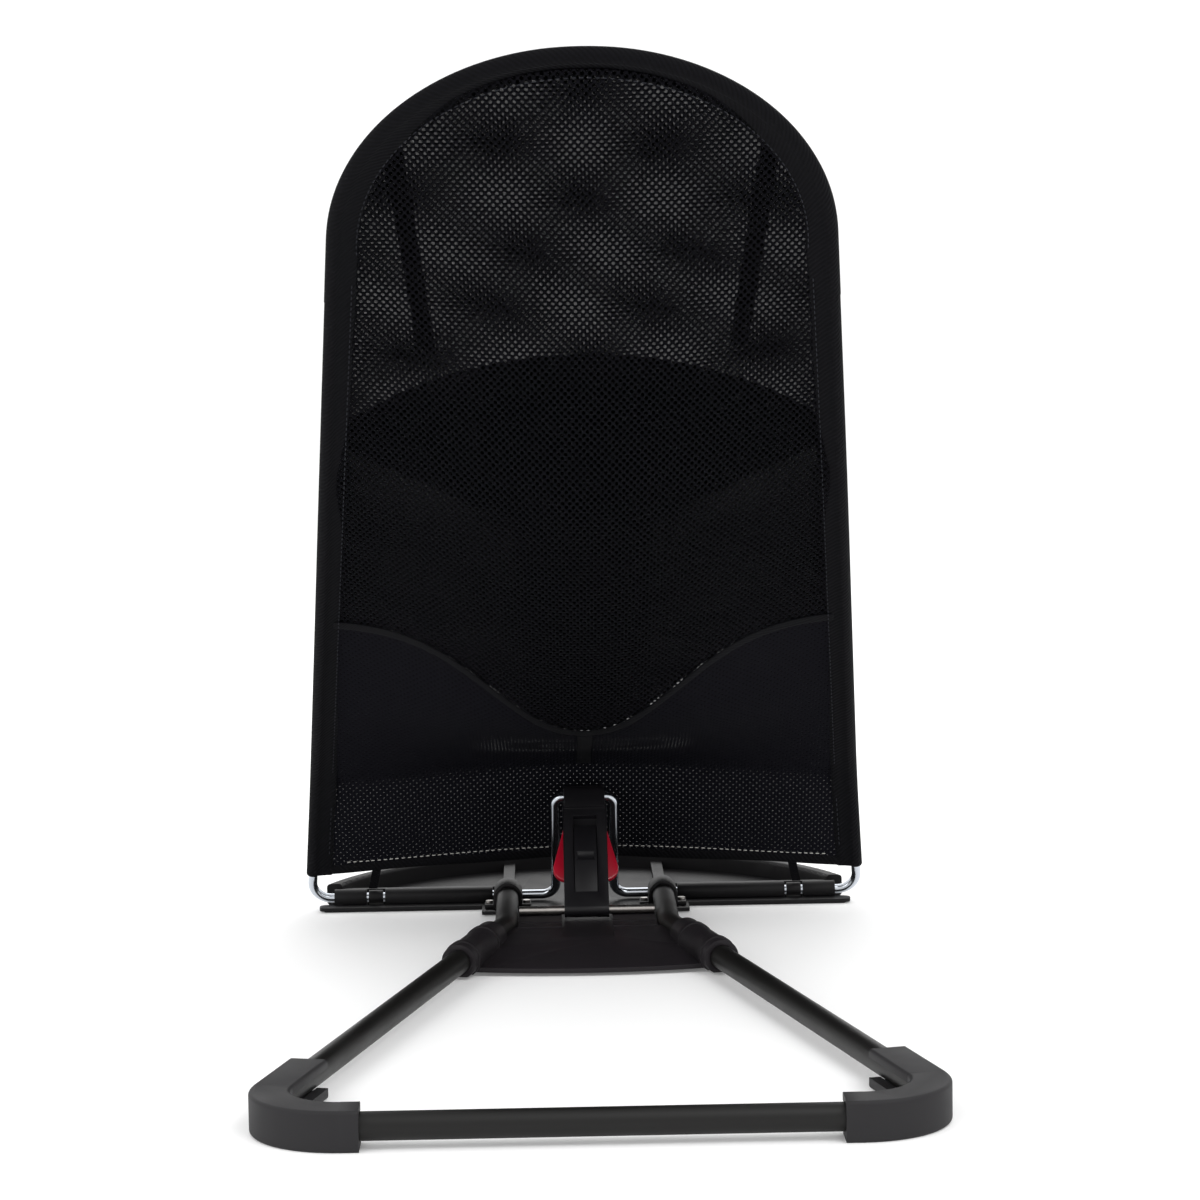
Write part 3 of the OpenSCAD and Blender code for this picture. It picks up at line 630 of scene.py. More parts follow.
@dataclass(frozen=True)
class SeatCurve:
    """The seat wire's rails and the cloth that hangs between them, as in the frame's own sizes.

    A place on the seat is given as x across and t along the rails from the pivot.

    Attributes:
        pivot_y: the pivot run's place along the base.
        pivot_z: the pivot run's height.
        half_width: half the distance between the rails at the pivot.
        head_radius: the radius of the head arc.
        crown_flat: the straight stretch at the top of the head arc.
        arc_half_turn: half the head arc's turn in degrees, near enough to work out the rails' lean.
        runs: the lengths of the rails' three straight runs.
        slopes: the slopes of those runs, in degrees.
        knee_radius: the radius of the bend between the first two runs.
        waist_radius: the radius of the bend between the last two runs.
        waist_blend: how far from the waist the cloth starts to follow its bend.
        crank_lift: how far the cloth's middle stands over the rails at the foot end.
        pouch_depth: how deep the sitter's pouch is.
        pouch_lead: how far before the knee the pouch starts.
        pouch_ramp: the distance over which it deepens.
        head_hang: how far the cloth's middle still hangs at the head end.
        rise_start: where the pouch starts to rise again.
        rise_ramp: the distance over which it rises.
        seam_side: where the pouch seam meets the rails.
        seam_dip: how far the seam dips in the middle.
        hem_start: where the hem starts.
        hem_height: how high the hem is.
    """

    pivot_y: float = frame["joints"][0]["pos_m"][1]
    pivot_z: float = frame["joints"][0]["pos_m"][2]
    half_width: float = 0.192
    head_radius: float = 0.138
    crown_flat: float = 0.003
    arc_half_turn: float = 43.0
    runs: tuple[float, float, float] = (0.100, 0.330, 0.324)
    slopes: tuple[float, float, float] = (62.0, 42.0, 47.5)
    knee_radius: float = 0.200
    waist_radius: float = 1.500
    waist_blend: float = 0.06
    crank_lift: float = 0.0145
    pouch_depth: float = 0.035
    pouch_lead: float = 0.005
    pouch_ramp: float = 0.125
    head_hang: float = 0.003
    rise_start: float = 0.300
    rise_ramp: float = 0.380
    seam_side: float = 0.287
    seam_dip: float = 0.079
    hem_start: float = 0.022
    hem_height: float = 0.008

    @property
    def length(self) -> float:
        """Length of a rail from the pivot to the head end."""
        return sum(self.runs)

    @property
    def head_half(self) -> float:
        """Half the distance between the rails, if they ran on to the crown.

        Returns:
            The distance that lets the head arc meet both rails in one line.
        """
        narrow = self.half_width - self.head_radius * math.tan(math.radians(self.arc_half_turn))
        turn = math.radians(90.0) - math.atan(narrow / self.length)
        return self.head_radius * math.tan(turn / 2.0) + self.crown_flat / 2.0

    @property
    def taper(self) -> float:
        """How much narrower a rail stands for each metre along it."""
        return (self.half_width - self.head_half) / self.length

    @property
    def head_start(self) -> float:
        """Where the head arc begins along the rails."""
        return self.length - self.head_radius

    def rail_x(self, t: float) -> float:
        """Half the distance between the rails at t."""
        return self.half_width - self.taper * t

    def slope(self, t: float) -> float:
        """Slope of the cloth along the rails.

        Args:
            t: the place along the rails.

        Returns:
            The slope in radians, eased over the knee and the waist.
        """
        first, second, third = self.slopes
        half = self.knee_radius * math.tan(math.radians((first - second) / 2.0))
        waist = self.runs[0] + self.runs[1]
        knee_share = ease((t - self.runs[0] + half) / (2.0 * half))
        waist_share = ease((t - waist + self.waist_blend) / (2.0 * self.waist_blend))
        return math.radians(first + (second - first) * knee_share + (third - second) * waist_share)

    def rail(self, t: float) -> Spot:
        """The rails' centre line with its bends left sharp.

        Args:
            t: the place along the rails.

        Returns:
            Its Y and Z.
        """
        y, z, left = self.pivot_y, self.pivot_z, t
        for i, (run, slope) in enumerate(zip(self.runs, self.slopes)):
            step = left if i == 2 else min(left, run)
            y += step * math.cos(math.radians(slope))
            z += step * math.sin(math.radians(slope))
            left -= step
            if left <= 0:
                break
        return y, z

    def wire(self, t: float) -> Point:
        """The bent wire's centre line, with its knee and waist rounded.

        Args:
            t: the place along the rails.

        Returns:
            Its Y, its Z and its slope in radians.
        """
        corners = (
            (self.runs[0], self.knee_radius, self.slopes[0], self.slopes[1]),
            (self.runs[0] + self.runs[1], self.waist_radius, self.slopes[1], self.slopes[2]),
        )
        for at, radius, first, second in corners:
            turn = math.radians(second - first)
            cut = radius * math.tan(abs(turn) / 2.0)
            if abs(t - at) < cut:
                y, z = self.rail(at - cut)
                angle = math.radians(first)
                phi = abs(turn) * (t - at + cut) / (2.0 * cut)
                side = math.copysign(1.0, turn)
                ahead, aside = radius * math.sin(phi), side * radius * (1.0 - math.cos(phi))
                return (y + ahead * math.cos(angle) - aside * math.sin(angle),
                        z + ahead * math.sin(angle) + aside * math.cos(angle), angle + side * phi)
        y, z = self.rail(t)
        run = 0 if t < self.runs[0] else 1 if t < self.runs[0] + self.runs[1] else 2
        return y, z, math.radians(self.slopes[run])

    def hang(self, t: float) -> float:
        """How far the cloth's middle hangs below the rails.

        Args:
            t: the place along the rails.

        Returns:
            The distance, which is negative where the cloth stands over the rails.
        """
        deepen = ease((t - self.runs[0] + self.pouch_lead) / self.pouch_ramp)
        rise = ease((t - self.rise_start) / self.rise_ramp)
        down = (self.crank_lift + self.pouch_depth) * deepen
        return -self.crank_lift + down - (self.pouch_depth - self.head_hang) * rise

    def sag(self, x: float, t: float) -> float:
        """How far the cloth hangs at x and t."""
        share = min(1.0, (x / self.rail_x(t)) ** 2)
        return self.hang(t) * (1.0 - share) ** 2

    def cloth(self, x: float, t: float, depth: float = 0.0) -> Point:
        """A point on or under the cloth.

        Args:
            x: the place across the seat.
            t: the place along the rails.
            depth: how far below the cloth's upper face it lies.

        Returns:
            The point.
        """
        y, z = self.rail(t)
        slope = self.slope(t)
        low = self.sag(x, t) + depth
        return x, y + low * math.sin(slope), z - low * math.cos(slope)

    def seam(self, u: float) -> float:
        """Where the pouch seam lies along the rails, at a share u of the half width."""
        return self.seam_side - self.seam_dip * (1.0 - u * u) ** 5

    def inner_half(self, t: float, margin: float) -> float:
        """Half the width inside the wire.

        Args:
            t: the place along the rails.
            margin: how far inside the wire's centre line to stay.

        Returns:
            The half width, which follows the rails and then the head arc.
        """
        side = self.rail_x(t) - margin
        if t < self.head_start:
            return side
        reach = self.head_radius - margin
        return min(side, math.sqrt(max(0.0, reach ** 2 - (t - self.head_start) ** 2)))


@dataclass
class ClothPanels:
    """The mesh panels of the seat: back, back lining and legs.

    Attributes:
        curve: the seat's curve.
        edge: how far inside the wire a panel ends.
        thickness: how thick the mesh is.
        columns: how many faces run across a panel.
        rows: how many faces run along a panel's straight part.
        fold_height: the height of the folds round the pouch.
        fold_place: where along the rails they are highest.
        fold_reach: how far along the rails they reach.
        pull_height: the height of the folds where the hem's straps pull.
        pull_place: where along the rails they are highest.
        pull_reach: how far along the rails they reach.
        lining_share: the share of the back panel's width that the lining has.
        lining_gap: how far the lining stands over the back panel's upper face.
        lining_head_gap: how much further it stands at the head end.
    """

    curve: SeatCurve
    edge: float = 0.0062
    thickness: float = 0.0009
    columns: int = 72
    rows: int = 60
    fold_height: float = 0.0006
    fold_place: float = 0.25
    fold_reach: float = 0.085
    pull_height: float = 0.0004
    pull_place: float = 0.075
    pull_reach: float = 0.04
    lining_share: float = 0.985
    lining_gap: float = 0.0019
    lining_head_gap: float = 0.0035

    def shares(self) -> list[float]:
        """Even shares across the width, from -1 to 1."""
        return [-1.0 + 2.0 * j / self.columns for j in range(self.columns + 1)]

    def crease(self, x: float, t: float) -> float:
        """Small soft folds that run out of the pouch towards the rails, and up from the straps.

        Args:
            x: the place across the seat.
            t: the place along the rails.

        Returns:
            How far the cloth lies below its smooth curve.
        """
        # The waves' lengths wander with x and t, so that no two folds are alike.
        near = math.exp(-((t - self.fold_place) / self.fold_reach) ** 2)
        side = min(1.0, abs(x) / 0.05) * max(0.0, 1.0 - (abs(x) / 0.165) ** 4)
        fold = math.sin(t / 0.0125 + abs(x) / 0.03 + 0.7 * math.sin(x / 0.021))
        pull = math.exp(-((t - self.pull_place) / self.pull_reach) ** 2)
        tension = pull * math.sin(x / 0.011 + 3.0 * t / 0.1)
        return self.fold_height * near * side * fold + self.pull_height * tension

    def panel(
        self,
        name: str,
        spots: Sequence[Sequence[Spot]],
        depth: Callable[[float, float], float],
    ) -> bpy.types.Object:
        """Build one panel from its places on the cloth.

        Args:
            name: the piece's name.
            spots: rows of x and t.
            depth: how far below the upper face a place lies.

        Returns:
            The panel as a closed sheet.
        """
        rows = [[self.curve.cloth(x, t, depth(x, t)) for x, t in row] for row in spots]
        obj = grid_object(name, rows, spots)
        bake_modifier(obj, "SOLIDIFY", thickness=self.thickness, offset=-1.0, use_even_offset=True)
        finish_faces(obj, 60.0)
        return obj

    def back_spots(self, narrow: float) -> list[list[Spot]]:
        """Places of the back panel's points, from the pouch seam to the head arc.

        Args:
            narrow: a share of the width to keep.

        Returns:
            Rows of x and t.
        """
        c = self.curve
        straight = [c.seam_side + (c.head_start - c.seam_side) * i / self.rows for i in range(self.rows + 1)]
        reach = c.head_radius - self.edge
        arc = [c.head_start + reach * math.sin(math.radians(a)) for a in range(3, 88, 3)]
        rows = []
        for t in straight + arc:
            share = max(0.0, 1.0 - (t - c.seam_side) / (c.head_start - c.seam_side)) ** 2
            rows.append([
                (u * narrow * c.inner_half(t, self.edge), t - (c.seam_side - c.seam(u)) * share)
                for u in self.shares()
            ])
        return rows

    def build_back(self) -> bpy.types.Object:
        """The back panel, stretched between the casings.

        Returns:
            The panel.
        """
        obj = self.panel("back_mesh", self.back_spots(1.0), self.crease)
        place_piece(obj, "seat", PALETTE.back_mesh, ["back_panel"])
        return obj

    def build_lining(self) -> bpy.types.Object:
        """The second mesh layer, over the whole back on the sitter's side.

        Returns:
            The lining.
        """

        def depth(x: float, t: float) -> float:
            """How far the lining lies below the upper face, with a slow wave across it."""
            parting = self.lining_head_gap * ease((t - 0.55) / 0.1)
            return -self.lining_gap - parting + self.pull_height * math.sin(x / 0.03)

        obj = self.panel("back_lining_mesh", self.back_spots(self.lining_share), depth)
        place_piece(obj, "seat", PALETTE.lining_mesh, ["back_lining"])
        return obj

    def build_legs(self) -> bpy.types.Object:
        """The finer panel between the pouch seam and the hem.

        Returns:
            The panel.
        """
        c = self.curve
        low = c.hem_start + c.hem_height - 0.002
        rows = []
        for i in range(self.rows + 1):
            row = []
            for u in self.shares():
                t = low + (c.seam(u) - low) * i / self.rows
                row.append((u * c.inner_half(t, self.edge), t))
            rows.append(row)
        obj = self.panel("leg_mesh", rows, self.crease)
        place_piece(obj, "seat", PALETTE.leg_mesh, ["leg_panel"])
        return obj


@dataclass
class Casings:
    """The cloth casings that wrap the wire and carry the panels.

    Attributes:
        curve: the seat's curve.
        wrap: the radius of the loop round the wire.
        band: how far the flat band reaches inside the wire.
        band_half: half the band's thickness.
        start: where the side casings start along the rails.
        rail_steps: how many stations stand along a rail.
        arc_steps: how many steps the head arc has.
        lap: the station at which the head casing starts.
        lap_steps: how many stations the side casings run on under it.
        lap_grow: how much larger the head casing is.
    """

    curve: SeatCurve
    wrap: float = 0.0046
    band: float = 0.0135
    band_half: float = 0.0013
    start: float = 0.0225
    rail_steps: int = 150
    arc_steps: int = 80
    lap: int = 138
    lap_steps: int = 3
    lap_grow: float = 0.00025

    def frames(self) -> list[tuple[float, Vector, Vector, Vector]]:
        """Stations round the wire, up the right rail, over the head and down the left rail.

        Returns:
            For each station: the distance so far, the place on the wire, the direction into the
            seat and the direction of the sitter's face.
        """
        c = self.curve
        lean = math.atan(c.taper)
        centre = c.length - c.head_radius
        stations: list[tuple[Vector, Vector, Vector]] = []

        def station(x: float, t: float, inward: Spot) -> None:
            """Add one station.

            Args:
                x: the place across the seat.
                t: the place along the rails.
                inward: the direction into the seat, across and along.
            """
            y, z, slope = c.wire(t)
            along = Vector((0.0, math.cos(slope), math.sin(slope)))
            face = Vector((0.0, -math.sin(slope), math.cos(slope)))
            stations.append((Vector((x, y, z)), Vector((inward[0], 0, 0)) + along * inward[1], face))

        last = centre + c.head_radius * math.sin(lean)
        rail = [self.start + (last - self.start) * i / self.rail_steps for i in range(self.rail_steps)]
        for t in rail:
            station(c.rail_x(t), t, (-math.cos(lean), -math.sin(lean)))
        shift = c.head_half - c.head_radius * math.tan((math.pi / 2.0 - lean) / 2.0)
        for k in range(self.arc_steps + 1):
            a = lean + (math.pi - 2.0 * lean) * k / self.arc_steps
            x = c.head_radius * math.cos(a) + shift * max(-1.0, min(1.0, 8.0 * math.cos(a)))
            station(x, centre + c.head_radius * math.sin(a), (-math.cos(a), -math.sin(a)))
        for t in reversed(rail):
            station(-c.rail_x(t), t, (math.cos(lean), -math.sin(lean)))
        out, so_far = [], 0.0
        for i, (spot, inward, face) in enumerate(stations):
            if i:
                so_far += (spot - stations[i - 1][0]).length
            out.append((so_far, spot, inward.normalized(), face))
        return out

    def profile(self, grow: float) -> list[Spot]:
        """Outline of the casing: a loop round the wire that closes to a flat band inside.

        Args:
            grow: how much larger than usual it is.

        Returns:
            Its points, as the distances into the seat and towards the sitter.
        """
        r = self.wrap + grow
        loop = [(r * math.cos(math.radians(a)), r * math.sin(math.radians(a))) for a in range(35, 326, 15)]
        top, low = self.band_half + grow, -self.band_half - grow
        end = self.band + grow
        under = [(end * 0.62, low - 0.0006), (end - 0.001, low), (end, low * 0.3)]
        over = [(end, top * 0.3), (end - 0.001, top), (end * 0.62, top + 0.0006)]
        return loop + under + over

    def sweep(self, name: str, first: int, last: int, grow: float) -> bpy.types.Object:
        """Sweep the casing's outline along part of the wire.

        Args:
            name: the piece's name.
            first: the first station.
            last: the last station.
            grow: how much larger the outline is, for a piece that laps over another.

        Returns:
            The casing, closed at both ends.
        """
        outline = self.profile(grow)
        girth = [0.0]
        for a, b in zip(outline, outline[1:] + outline[:1]):
            girth.append(girth[-1] + math.dist(a, b))
        rows, uvs = [], []
        for so_far, spot, inward, face in self.frames()[first:last]:
            # The band's inner edge waves a little, as sewn cloth does.
            ripple = 1.0 + 0.03 * math.sin(so_far / 0.009) * math.sin(so_far / 0.031)
            row = [tuple(spot + inward * a * (ripple if a > 0 else 1.0) + face * b) for a, b in outline]
            rows.append(row)
            uvs.append([(g, so_far) for g in girth[:-1]])
        obj = grid_object(name, rows, uvs, closed=True)
        close_ends(obj, len(outline))
        finish_faces(obj, 50.0)
        return obj

    def build(self) -> None:
        """The two side bands and the head band, which laps over them."""
        stations = len(self.frames())
        side = self.lap + self.lap_steps
        for name, first, last, grow, node in (
            ("side_band_right", 0, side, 0.0, "side_casing_right"),
            ("side_band_left", stations - side, stations, 0.0, "side_casing_left"),
            ("head_band", self.lap, stations - self.lap, self.lap_grow, "head_casing"),
        ):
            obj = self.sweep(name, first, last, grow)
            place_piece(obj, "seat", PALETTE.band_tape, [node])


@dataclass
class Sewing:
    """Seam tapes, the hem, stitches and straps.

    Attributes:
        curve: the seat's curve.
        stitch_pitch: the distance from one stitch to the next.
        stitch_length: how long a stitch shows.
        stitch_height: how high a stitch stands.
        stitch_skip: the share of stitches that sink into the cloth and don't show.
        casing_inset: how far inside the wire the casings are sewn.
        tape_depth: how far below the cloth's upper face a seam tape lies.
        tape_thickness: how thick a seam tape is.
        leg_seam_start: where the leg panel's tape starts along the rails.
        hem_sides: how many sides the rolled hem has.
        strap_start: where the straps start along the rails.
        strap_thickness: how thick a strap is.
        lining_tape_span: where the lining's tapes start and end along the rails.
    """

    curve: SeatCurve
    stitch_pitch: float = 0.0042
    stitch_length: float = 0.0024
    stitch_height: float = 0.0005
    stitch_skip: float = 0.0
    casing_inset: float = 0.0108
    tape_depth: float = 0.0011
    tape_thickness: float = 0.0009
    leg_seam_start: float = 0.104
    hem_sides: int = 14
    strap_start: float = 0.0060
    strap_thickness: float = 0.0012
    lining_tape_span: Spot = (0.535, 0.690)

    def strip(
        self, name: str, spots: Sequence[Sequence[Spot]], depth: float, thickness: float,
    ) -> bpy.types.Object:
        """A flat tape laid on the cloth.

        Args:
            name: the piece's name.
            spots: rows of x and t.
            depth: how far below the cloth's upper face its near side lies.
            thickness: how thick it is.

        Returns:
            The tape.
        """
        rows = [[self.curve.cloth(x, t, depth) for x, t in row] for row in spots]
        obj = grid_object(name, rows, spots)
        bake_modifier(obj, "SOLIDIFY", thickness=thickness, offset=-1.0)
        bake_modifier(
            obj, "BEVEL", width=thickness * 0.3, segments=2, limit_method="ANGLE", angle_limit=SHARP_EDGE)
        finish_faces(obj, 50.0)
        return obj

    def build_pouch_seam(self) -> None:
        """The bound seam between the back panel and the leg panel."""
        c = self.curve
        shares = [-1.0 + j / 40.0 for j in range(81)]
        spots = [
            [(u * c.inner_half(c.seam(u), 0.0075), c.seam(u) + step) for u in shares]
            for step in (-0.0035, -0.001, 0.001, 0.0035)
        ]
        obj = self.strip("pouch_binding", spots, self.tape_depth, self.tape_thickness)
        place_piece(obj, "seat", PALETTE.seam_tape, ["pouch_seam"])

    def build_leg_seam(self) -> None:
        """The tape down the middle of the leg panel."""
        c = self.curve
        low, top = self.leg_seam_start, c.seam(0.0) - 0.004
        spots = [
            [(x, low + (top - low) * i / 24.0) for x in (-0.0048, -0.0016, 0.0016, 0.0048)]
            for i in range(25)
        ]
        obj = self.strip("leg_binding", spots, self.tape_depth, self.tape_thickness)
        place_piece(obj, "seat", PALETTE.seam_tape, ["leg_seam"])

    def build_hem(self) -> None:
        """The rolled hem along the foot end, wavy where the straps pull."""
        c = self.curve
        rows, uvs = [], []
        for j in range(121):
            u = -1.0 + 2.0 * j / 120.0
            row, flat = [], []
            for k in range(self.hem_sides):
                a = 2.0 * math.pi * k / self.hem_sides
                t = c.hem_start + c.hem_height / 2.0 + c.hem_height / 2.0 * math.cos(a)
                t += 0.0008 * math.cos(u * 9.0)
                x = u * c.inner_half(t, 0.0055)
                row.append(c.cloth(x, t, 0.0005 - 0.0013 * math.sin(a)))
                flat.append((x, 0.02 * k / self.hem_sides))
            rows.append(row)
            uvs.append(flat)
        obj = grid_object("hem_roll", rows, uvs, closed=True)
        close_ends(obj, self.hem_sides)
        finish_faces(obj, 60.0)
        place_piece(obj, "seat", PALETTE.band_tape, ["hem_binding"])

    def stitches(
        self, name: str, line: Callable[[float], Spot], length: float, depth: float, finish: WovenTape,
    ) -> None:
        """A row of sewn stitches as one piece.

        Args:
            name: the piece's name.
            line: the place on the cloth at a distance along the row, as x and t.
            length: the row's length.
            depth: how far below the cloth's upper face the stitches lie.
            finish: the thread's finish.
        """
        rng = random.Random(7)
        points, faces, uvs = [], [], []
        count = int(length / self.stitch_pitch)
        for i in range(count):
            start = (i + 0.5) * self.stitch_pitch + rng.uniform(-0.0003, 0.0003)
            if rng.random() < self.stitch_skip:
                continue
            half = self.stitch_length / 2.0
            ends = [Vector(self.curve.cloth(*line(start + step), depth)) for step in (-half, half)]
            along = (ends[1] - ends[0]).normalized()
            slope = self.curve.slope(line(start)[1])
            out = Vector((0.0, math.sin(slope), -math.cos(slope)))
            side = along.cross(out).normalized()
            base = len(points)
            for share, size in ((-0.02, 0.45), (0.2, 1.0), (0.8, 1.0), (1.02, 0.45)):
                mid = ends[0].lerp(ends[1], share)
                for k in range(6):
                    a = math.pi * k / 3.0
                    r = self.stitch_height * 0.62 * size
                    points.append(tuple(mid + side * r * math.cos(a) + out * r * math.sin(a)))
                    uvs.append((r * k, start + share * self.stitch_length))
            for ring in range(3):
                for k in range(6):
                    n = (k + 1) % 6
                    faces.append((base + ring * 6 + k, base + ring * 6 + n,
                                  base + ring * 6 + 6 + n, base + ring * 6 + 6 + k))
            faces.append(tuple(base + k for k in range(5, -1, -1)))
            faces.append(tuple(base + 18 + k for k in range(6)))
        obj = mesh_object(name, points, faces, uvs)
        finish_faces(obj, 80.0)
        place_piece(obj, "seat", finish)

    def build_stitches(self) -> None:
        """The light row on the hem and the dark rows on the casings."""
        c = self.curve
        mid = c.hem_start + c.hem_height + 0.002
        half = c.inner_half(mid, 0.020)
        self.stitches("hem_stitches", lambda s: (-half + s, mid), 2.0 * half, 0.0014, PALETTE.thread)
        low = 0.04
        reach = c.head_start - 0.02 - low
        for name, side in (("side_stitches_right", 1.0), ("side_stitches_left", -1.0)):
            self.stitches(
                name, lambda s, side=side: (side * (c.rail_x(low + s) - self.casing_inset), low + s),
                reach, 0.0024, PALETTE.dark_thread)
        radius = c.head_radius - self.casing_inset
        self.stitches(
            "head_stitches",
            lambda s: (radius * math.cos(s / radius), c.head_start + radius * math.sin(s / radius)),
            math.pi * radius, 0.0026, PALETTE.dark_thread)

    def build_straps(self) -> None:
        """The elastic straps from the hem to their clips on the pivot run."""
        c = self.curve
        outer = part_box("hem_straps")[1].x
        end = c.hem_start + 0.004
        for name, side in (("hem_strap_right", 1.0), ("hem_strap_left", -1.0)):
            centre = side * (outer - 0.003)
            rows, uvs = [], []
            for i in range(13):
                share = i / 12.0
                t = self.strap_start + (end - self.strap_start) * share
                lift = 0.0026 + 0.0012 * math.sin(math.pi * share)
                y, z = c.rail(t)
                slope = c.slope(t)
                row, flat = [], []
                for j in range(5):
                    across = -0.003 + 0.0015 * j
                    x = centre + across - side * 0.004 * (share - 0.5)
                    row.append((x, y - lift * math.sin(slope), z + lift * math.cos(slope)))
                    flat.append((across, t))
                rows.append(row)
                uvs.append(flat)
            obj = grid_object(name, rows, uvs)
            bake_modifier(obj, "SOLIDIFY", thickness=self.strap_thickness, offset=0.0)
            finish_faces(obj, 50.0)
            replaced = ["hem_straps"] if side > 0 else []
            place_piece(obj, "seat", PALETTE.seam_tape, replaced)

    def build_lining_tapes(self) -> None:
        """The two dark tapes on the sitter's side of the lining."""
        low, top = self.lining_tape_span
        for name, side in (("lining_tape_right", 1.0), ("lining_tape_left", -1.0)):
            spots = []
            for i in range(25):
                t = low + (top - low) * i / 24.0
                mid = side * (0.091 + 0.014 * i / 24.0)
                spots.append([(mid + 0.0055 * k, t) for k in (-1.0, -0.33, 0.33, 1.0)])
            obj = self.strip(name, spots, -0.0105, 0.001)
            place_piece(obj, "seat", PALETTE.seam_tape)


@dataclass
class Flap:
    """The padded restraint flap and the tape on its back.

    Attributes:
        curve: the seat's curve.
        width: how wide its upper part is.
        top: where its middle ends along the rails.
        crown: how much lower its upper corners are.
        neck: half the width of its lower part.
        thickness: how thick the padding is.
        gap: how far it stands over the cloth at its foot.
        arch: how much further its middle stands over the cloth.
        rim_rise: how fast it thickens from its edge, as a multiple of the share inwards.
        columns: how many faces run across it.
        rows: how many faces run up it.
    """

    curve: SeatCurve
    width: float = 0.290
    top: float = 0.524
    crown: float = 0.058
    neck: float = 0.042
    thickness: float = 0.0032
    gap: float = 0.0037
    arch: float = 0.020
    rim_rise: float = 14.0
    columns: int = 44
    rows: int = 60

    def spot(self, u: float, v: float) -> Point:
        """A place on the flap.

        Args:
            u: the share across it, from -1 to 1.
            v: the share up it, from 0 to 1.

        Returns:
            x, t and the height over the cloth.
        """
        c = self.curve
        low = c.seam_side - c.seam_dip + 0.008
        half = self.neck + (self.width / 2.0 - self.neck) * ease((v - 0.72) / 0.22)
        t = low + (self.top - self.crown * u * u - low) * v
        lift = self.gap + self.arch * ease(v / 0.5) * (1.0 - 0.6 * u * u)
        return u * half, t, lift

    def build(self) -> None:
        """The padded flap and the tape on its back."""
        rows_top, rows_low, uvs = [], [], []
        n, m = self.columns, self.rows
        for i in range(m + 1):
            v = i / m
            top, low, flat = [], [], []
            for j in range(n + 1):
                u = -1.0 + 2.0 * j / n
                x, t, lift = self.spot(u, v)
                # The wadding thins to about a third at the sewn edge.
                rim = min(1.0, min(1.0 - abs(u), v, 1.0 - v) * self.rim_rise)
                puff = self.thickness * (0.35 + 0.65 * math.sqrt(rim))
                wave = 0.0008 * math.sin(u * 6.0 + v * 4.0) * rim
                top.append(self.curve.cloth(x, t, -lift - puff / 2 - self.thickness / 2 + wave))
                low.append(self.curve.cloth(x, t, -lift + puff / 2 - self.thickness / 2 + wave))
                flat.append((x, t))
            rows_top.append(top)
            rows_low.append(low)
            uvs.append(flat)
        points = [p for row in rows_top for p in row] + [p for row in rows_low for p in row]
        flat = [p for row in uvs for p in row] * 2
        cols = n + 1
        shift = len(points) // 2
        faces = []
        for i in range(m):
            for j in range(n):
                a, b, c, d = i * cols + j, i * cols + j + 1, (i + 1) * cols + j + 1, (i + 1) * cols + j
                faces.append((a, b, c, d))
                faces.append((a + shift, d + shift, c + shift, b + shift))
        bottom = list(range(cols))
        right = [i * cols + n for i in range(1, m + 1)]
        top_edge = [m * cols + j for j in range(n - 1, -1, -1)]
        left = [i * cols for i in range(m - 1, 0, -1)]
        ring = bottom + right + top_edge + left
        for a, b in zip(ring, ring[1:] + ring[:1]):
            faces.append((a, a + shift, b + shift, b))
        obj = mesh_object("flap_pad", points, faces, flat)
        finish_faces(obj, 60.0)
        place_piece(obj, "seat", PALETTE.flap_knit, ["restraint_flap"])
        self.build_tape()

    def build_tape(self) -> None:
        """The narrow dark red tape sewn up the back of the flap."""
        rows, uvs = [], []
        for i in range(31):
            v = 0.12 + 0.62 * i / 30.0
            row, flat = [], []
            for k in (-1.0, -0.3, 0.3, 1.0):
                x, t, lift = self.spot(0.0, v)
                row.append(self.curve.cloth(x + 0.005 * k, t, -lift + 0.0004))
                flat.append((0.005 * k, t))
            rows.append(row)
            uvs.append(flat)
        obj = grid_object("flap_tape", rows, uvs)
        bake_modifier(obj, "SOLIDIFY", thickness=0.0007, offset=1.0)
        finish_faces(obj, 50.0)
        place_piece(obj, "seat", PALETTE.red_tape)


# ---------------------------------------------------------------- hard parts


@dataclass(frozen=True)
class Moulding:
    """A moulded part that gets rounded edges.

    Attributes:
        node: the CAD node's name.
        body: the body that it rides on.
        slot: the record's material slot; not used.
        finish: its finish.
        rounding_mm: how wide the rounding of its edges is.
    """

    node: str
    body: str
    slot: str
    finish: Finish
    rounding_mm: float


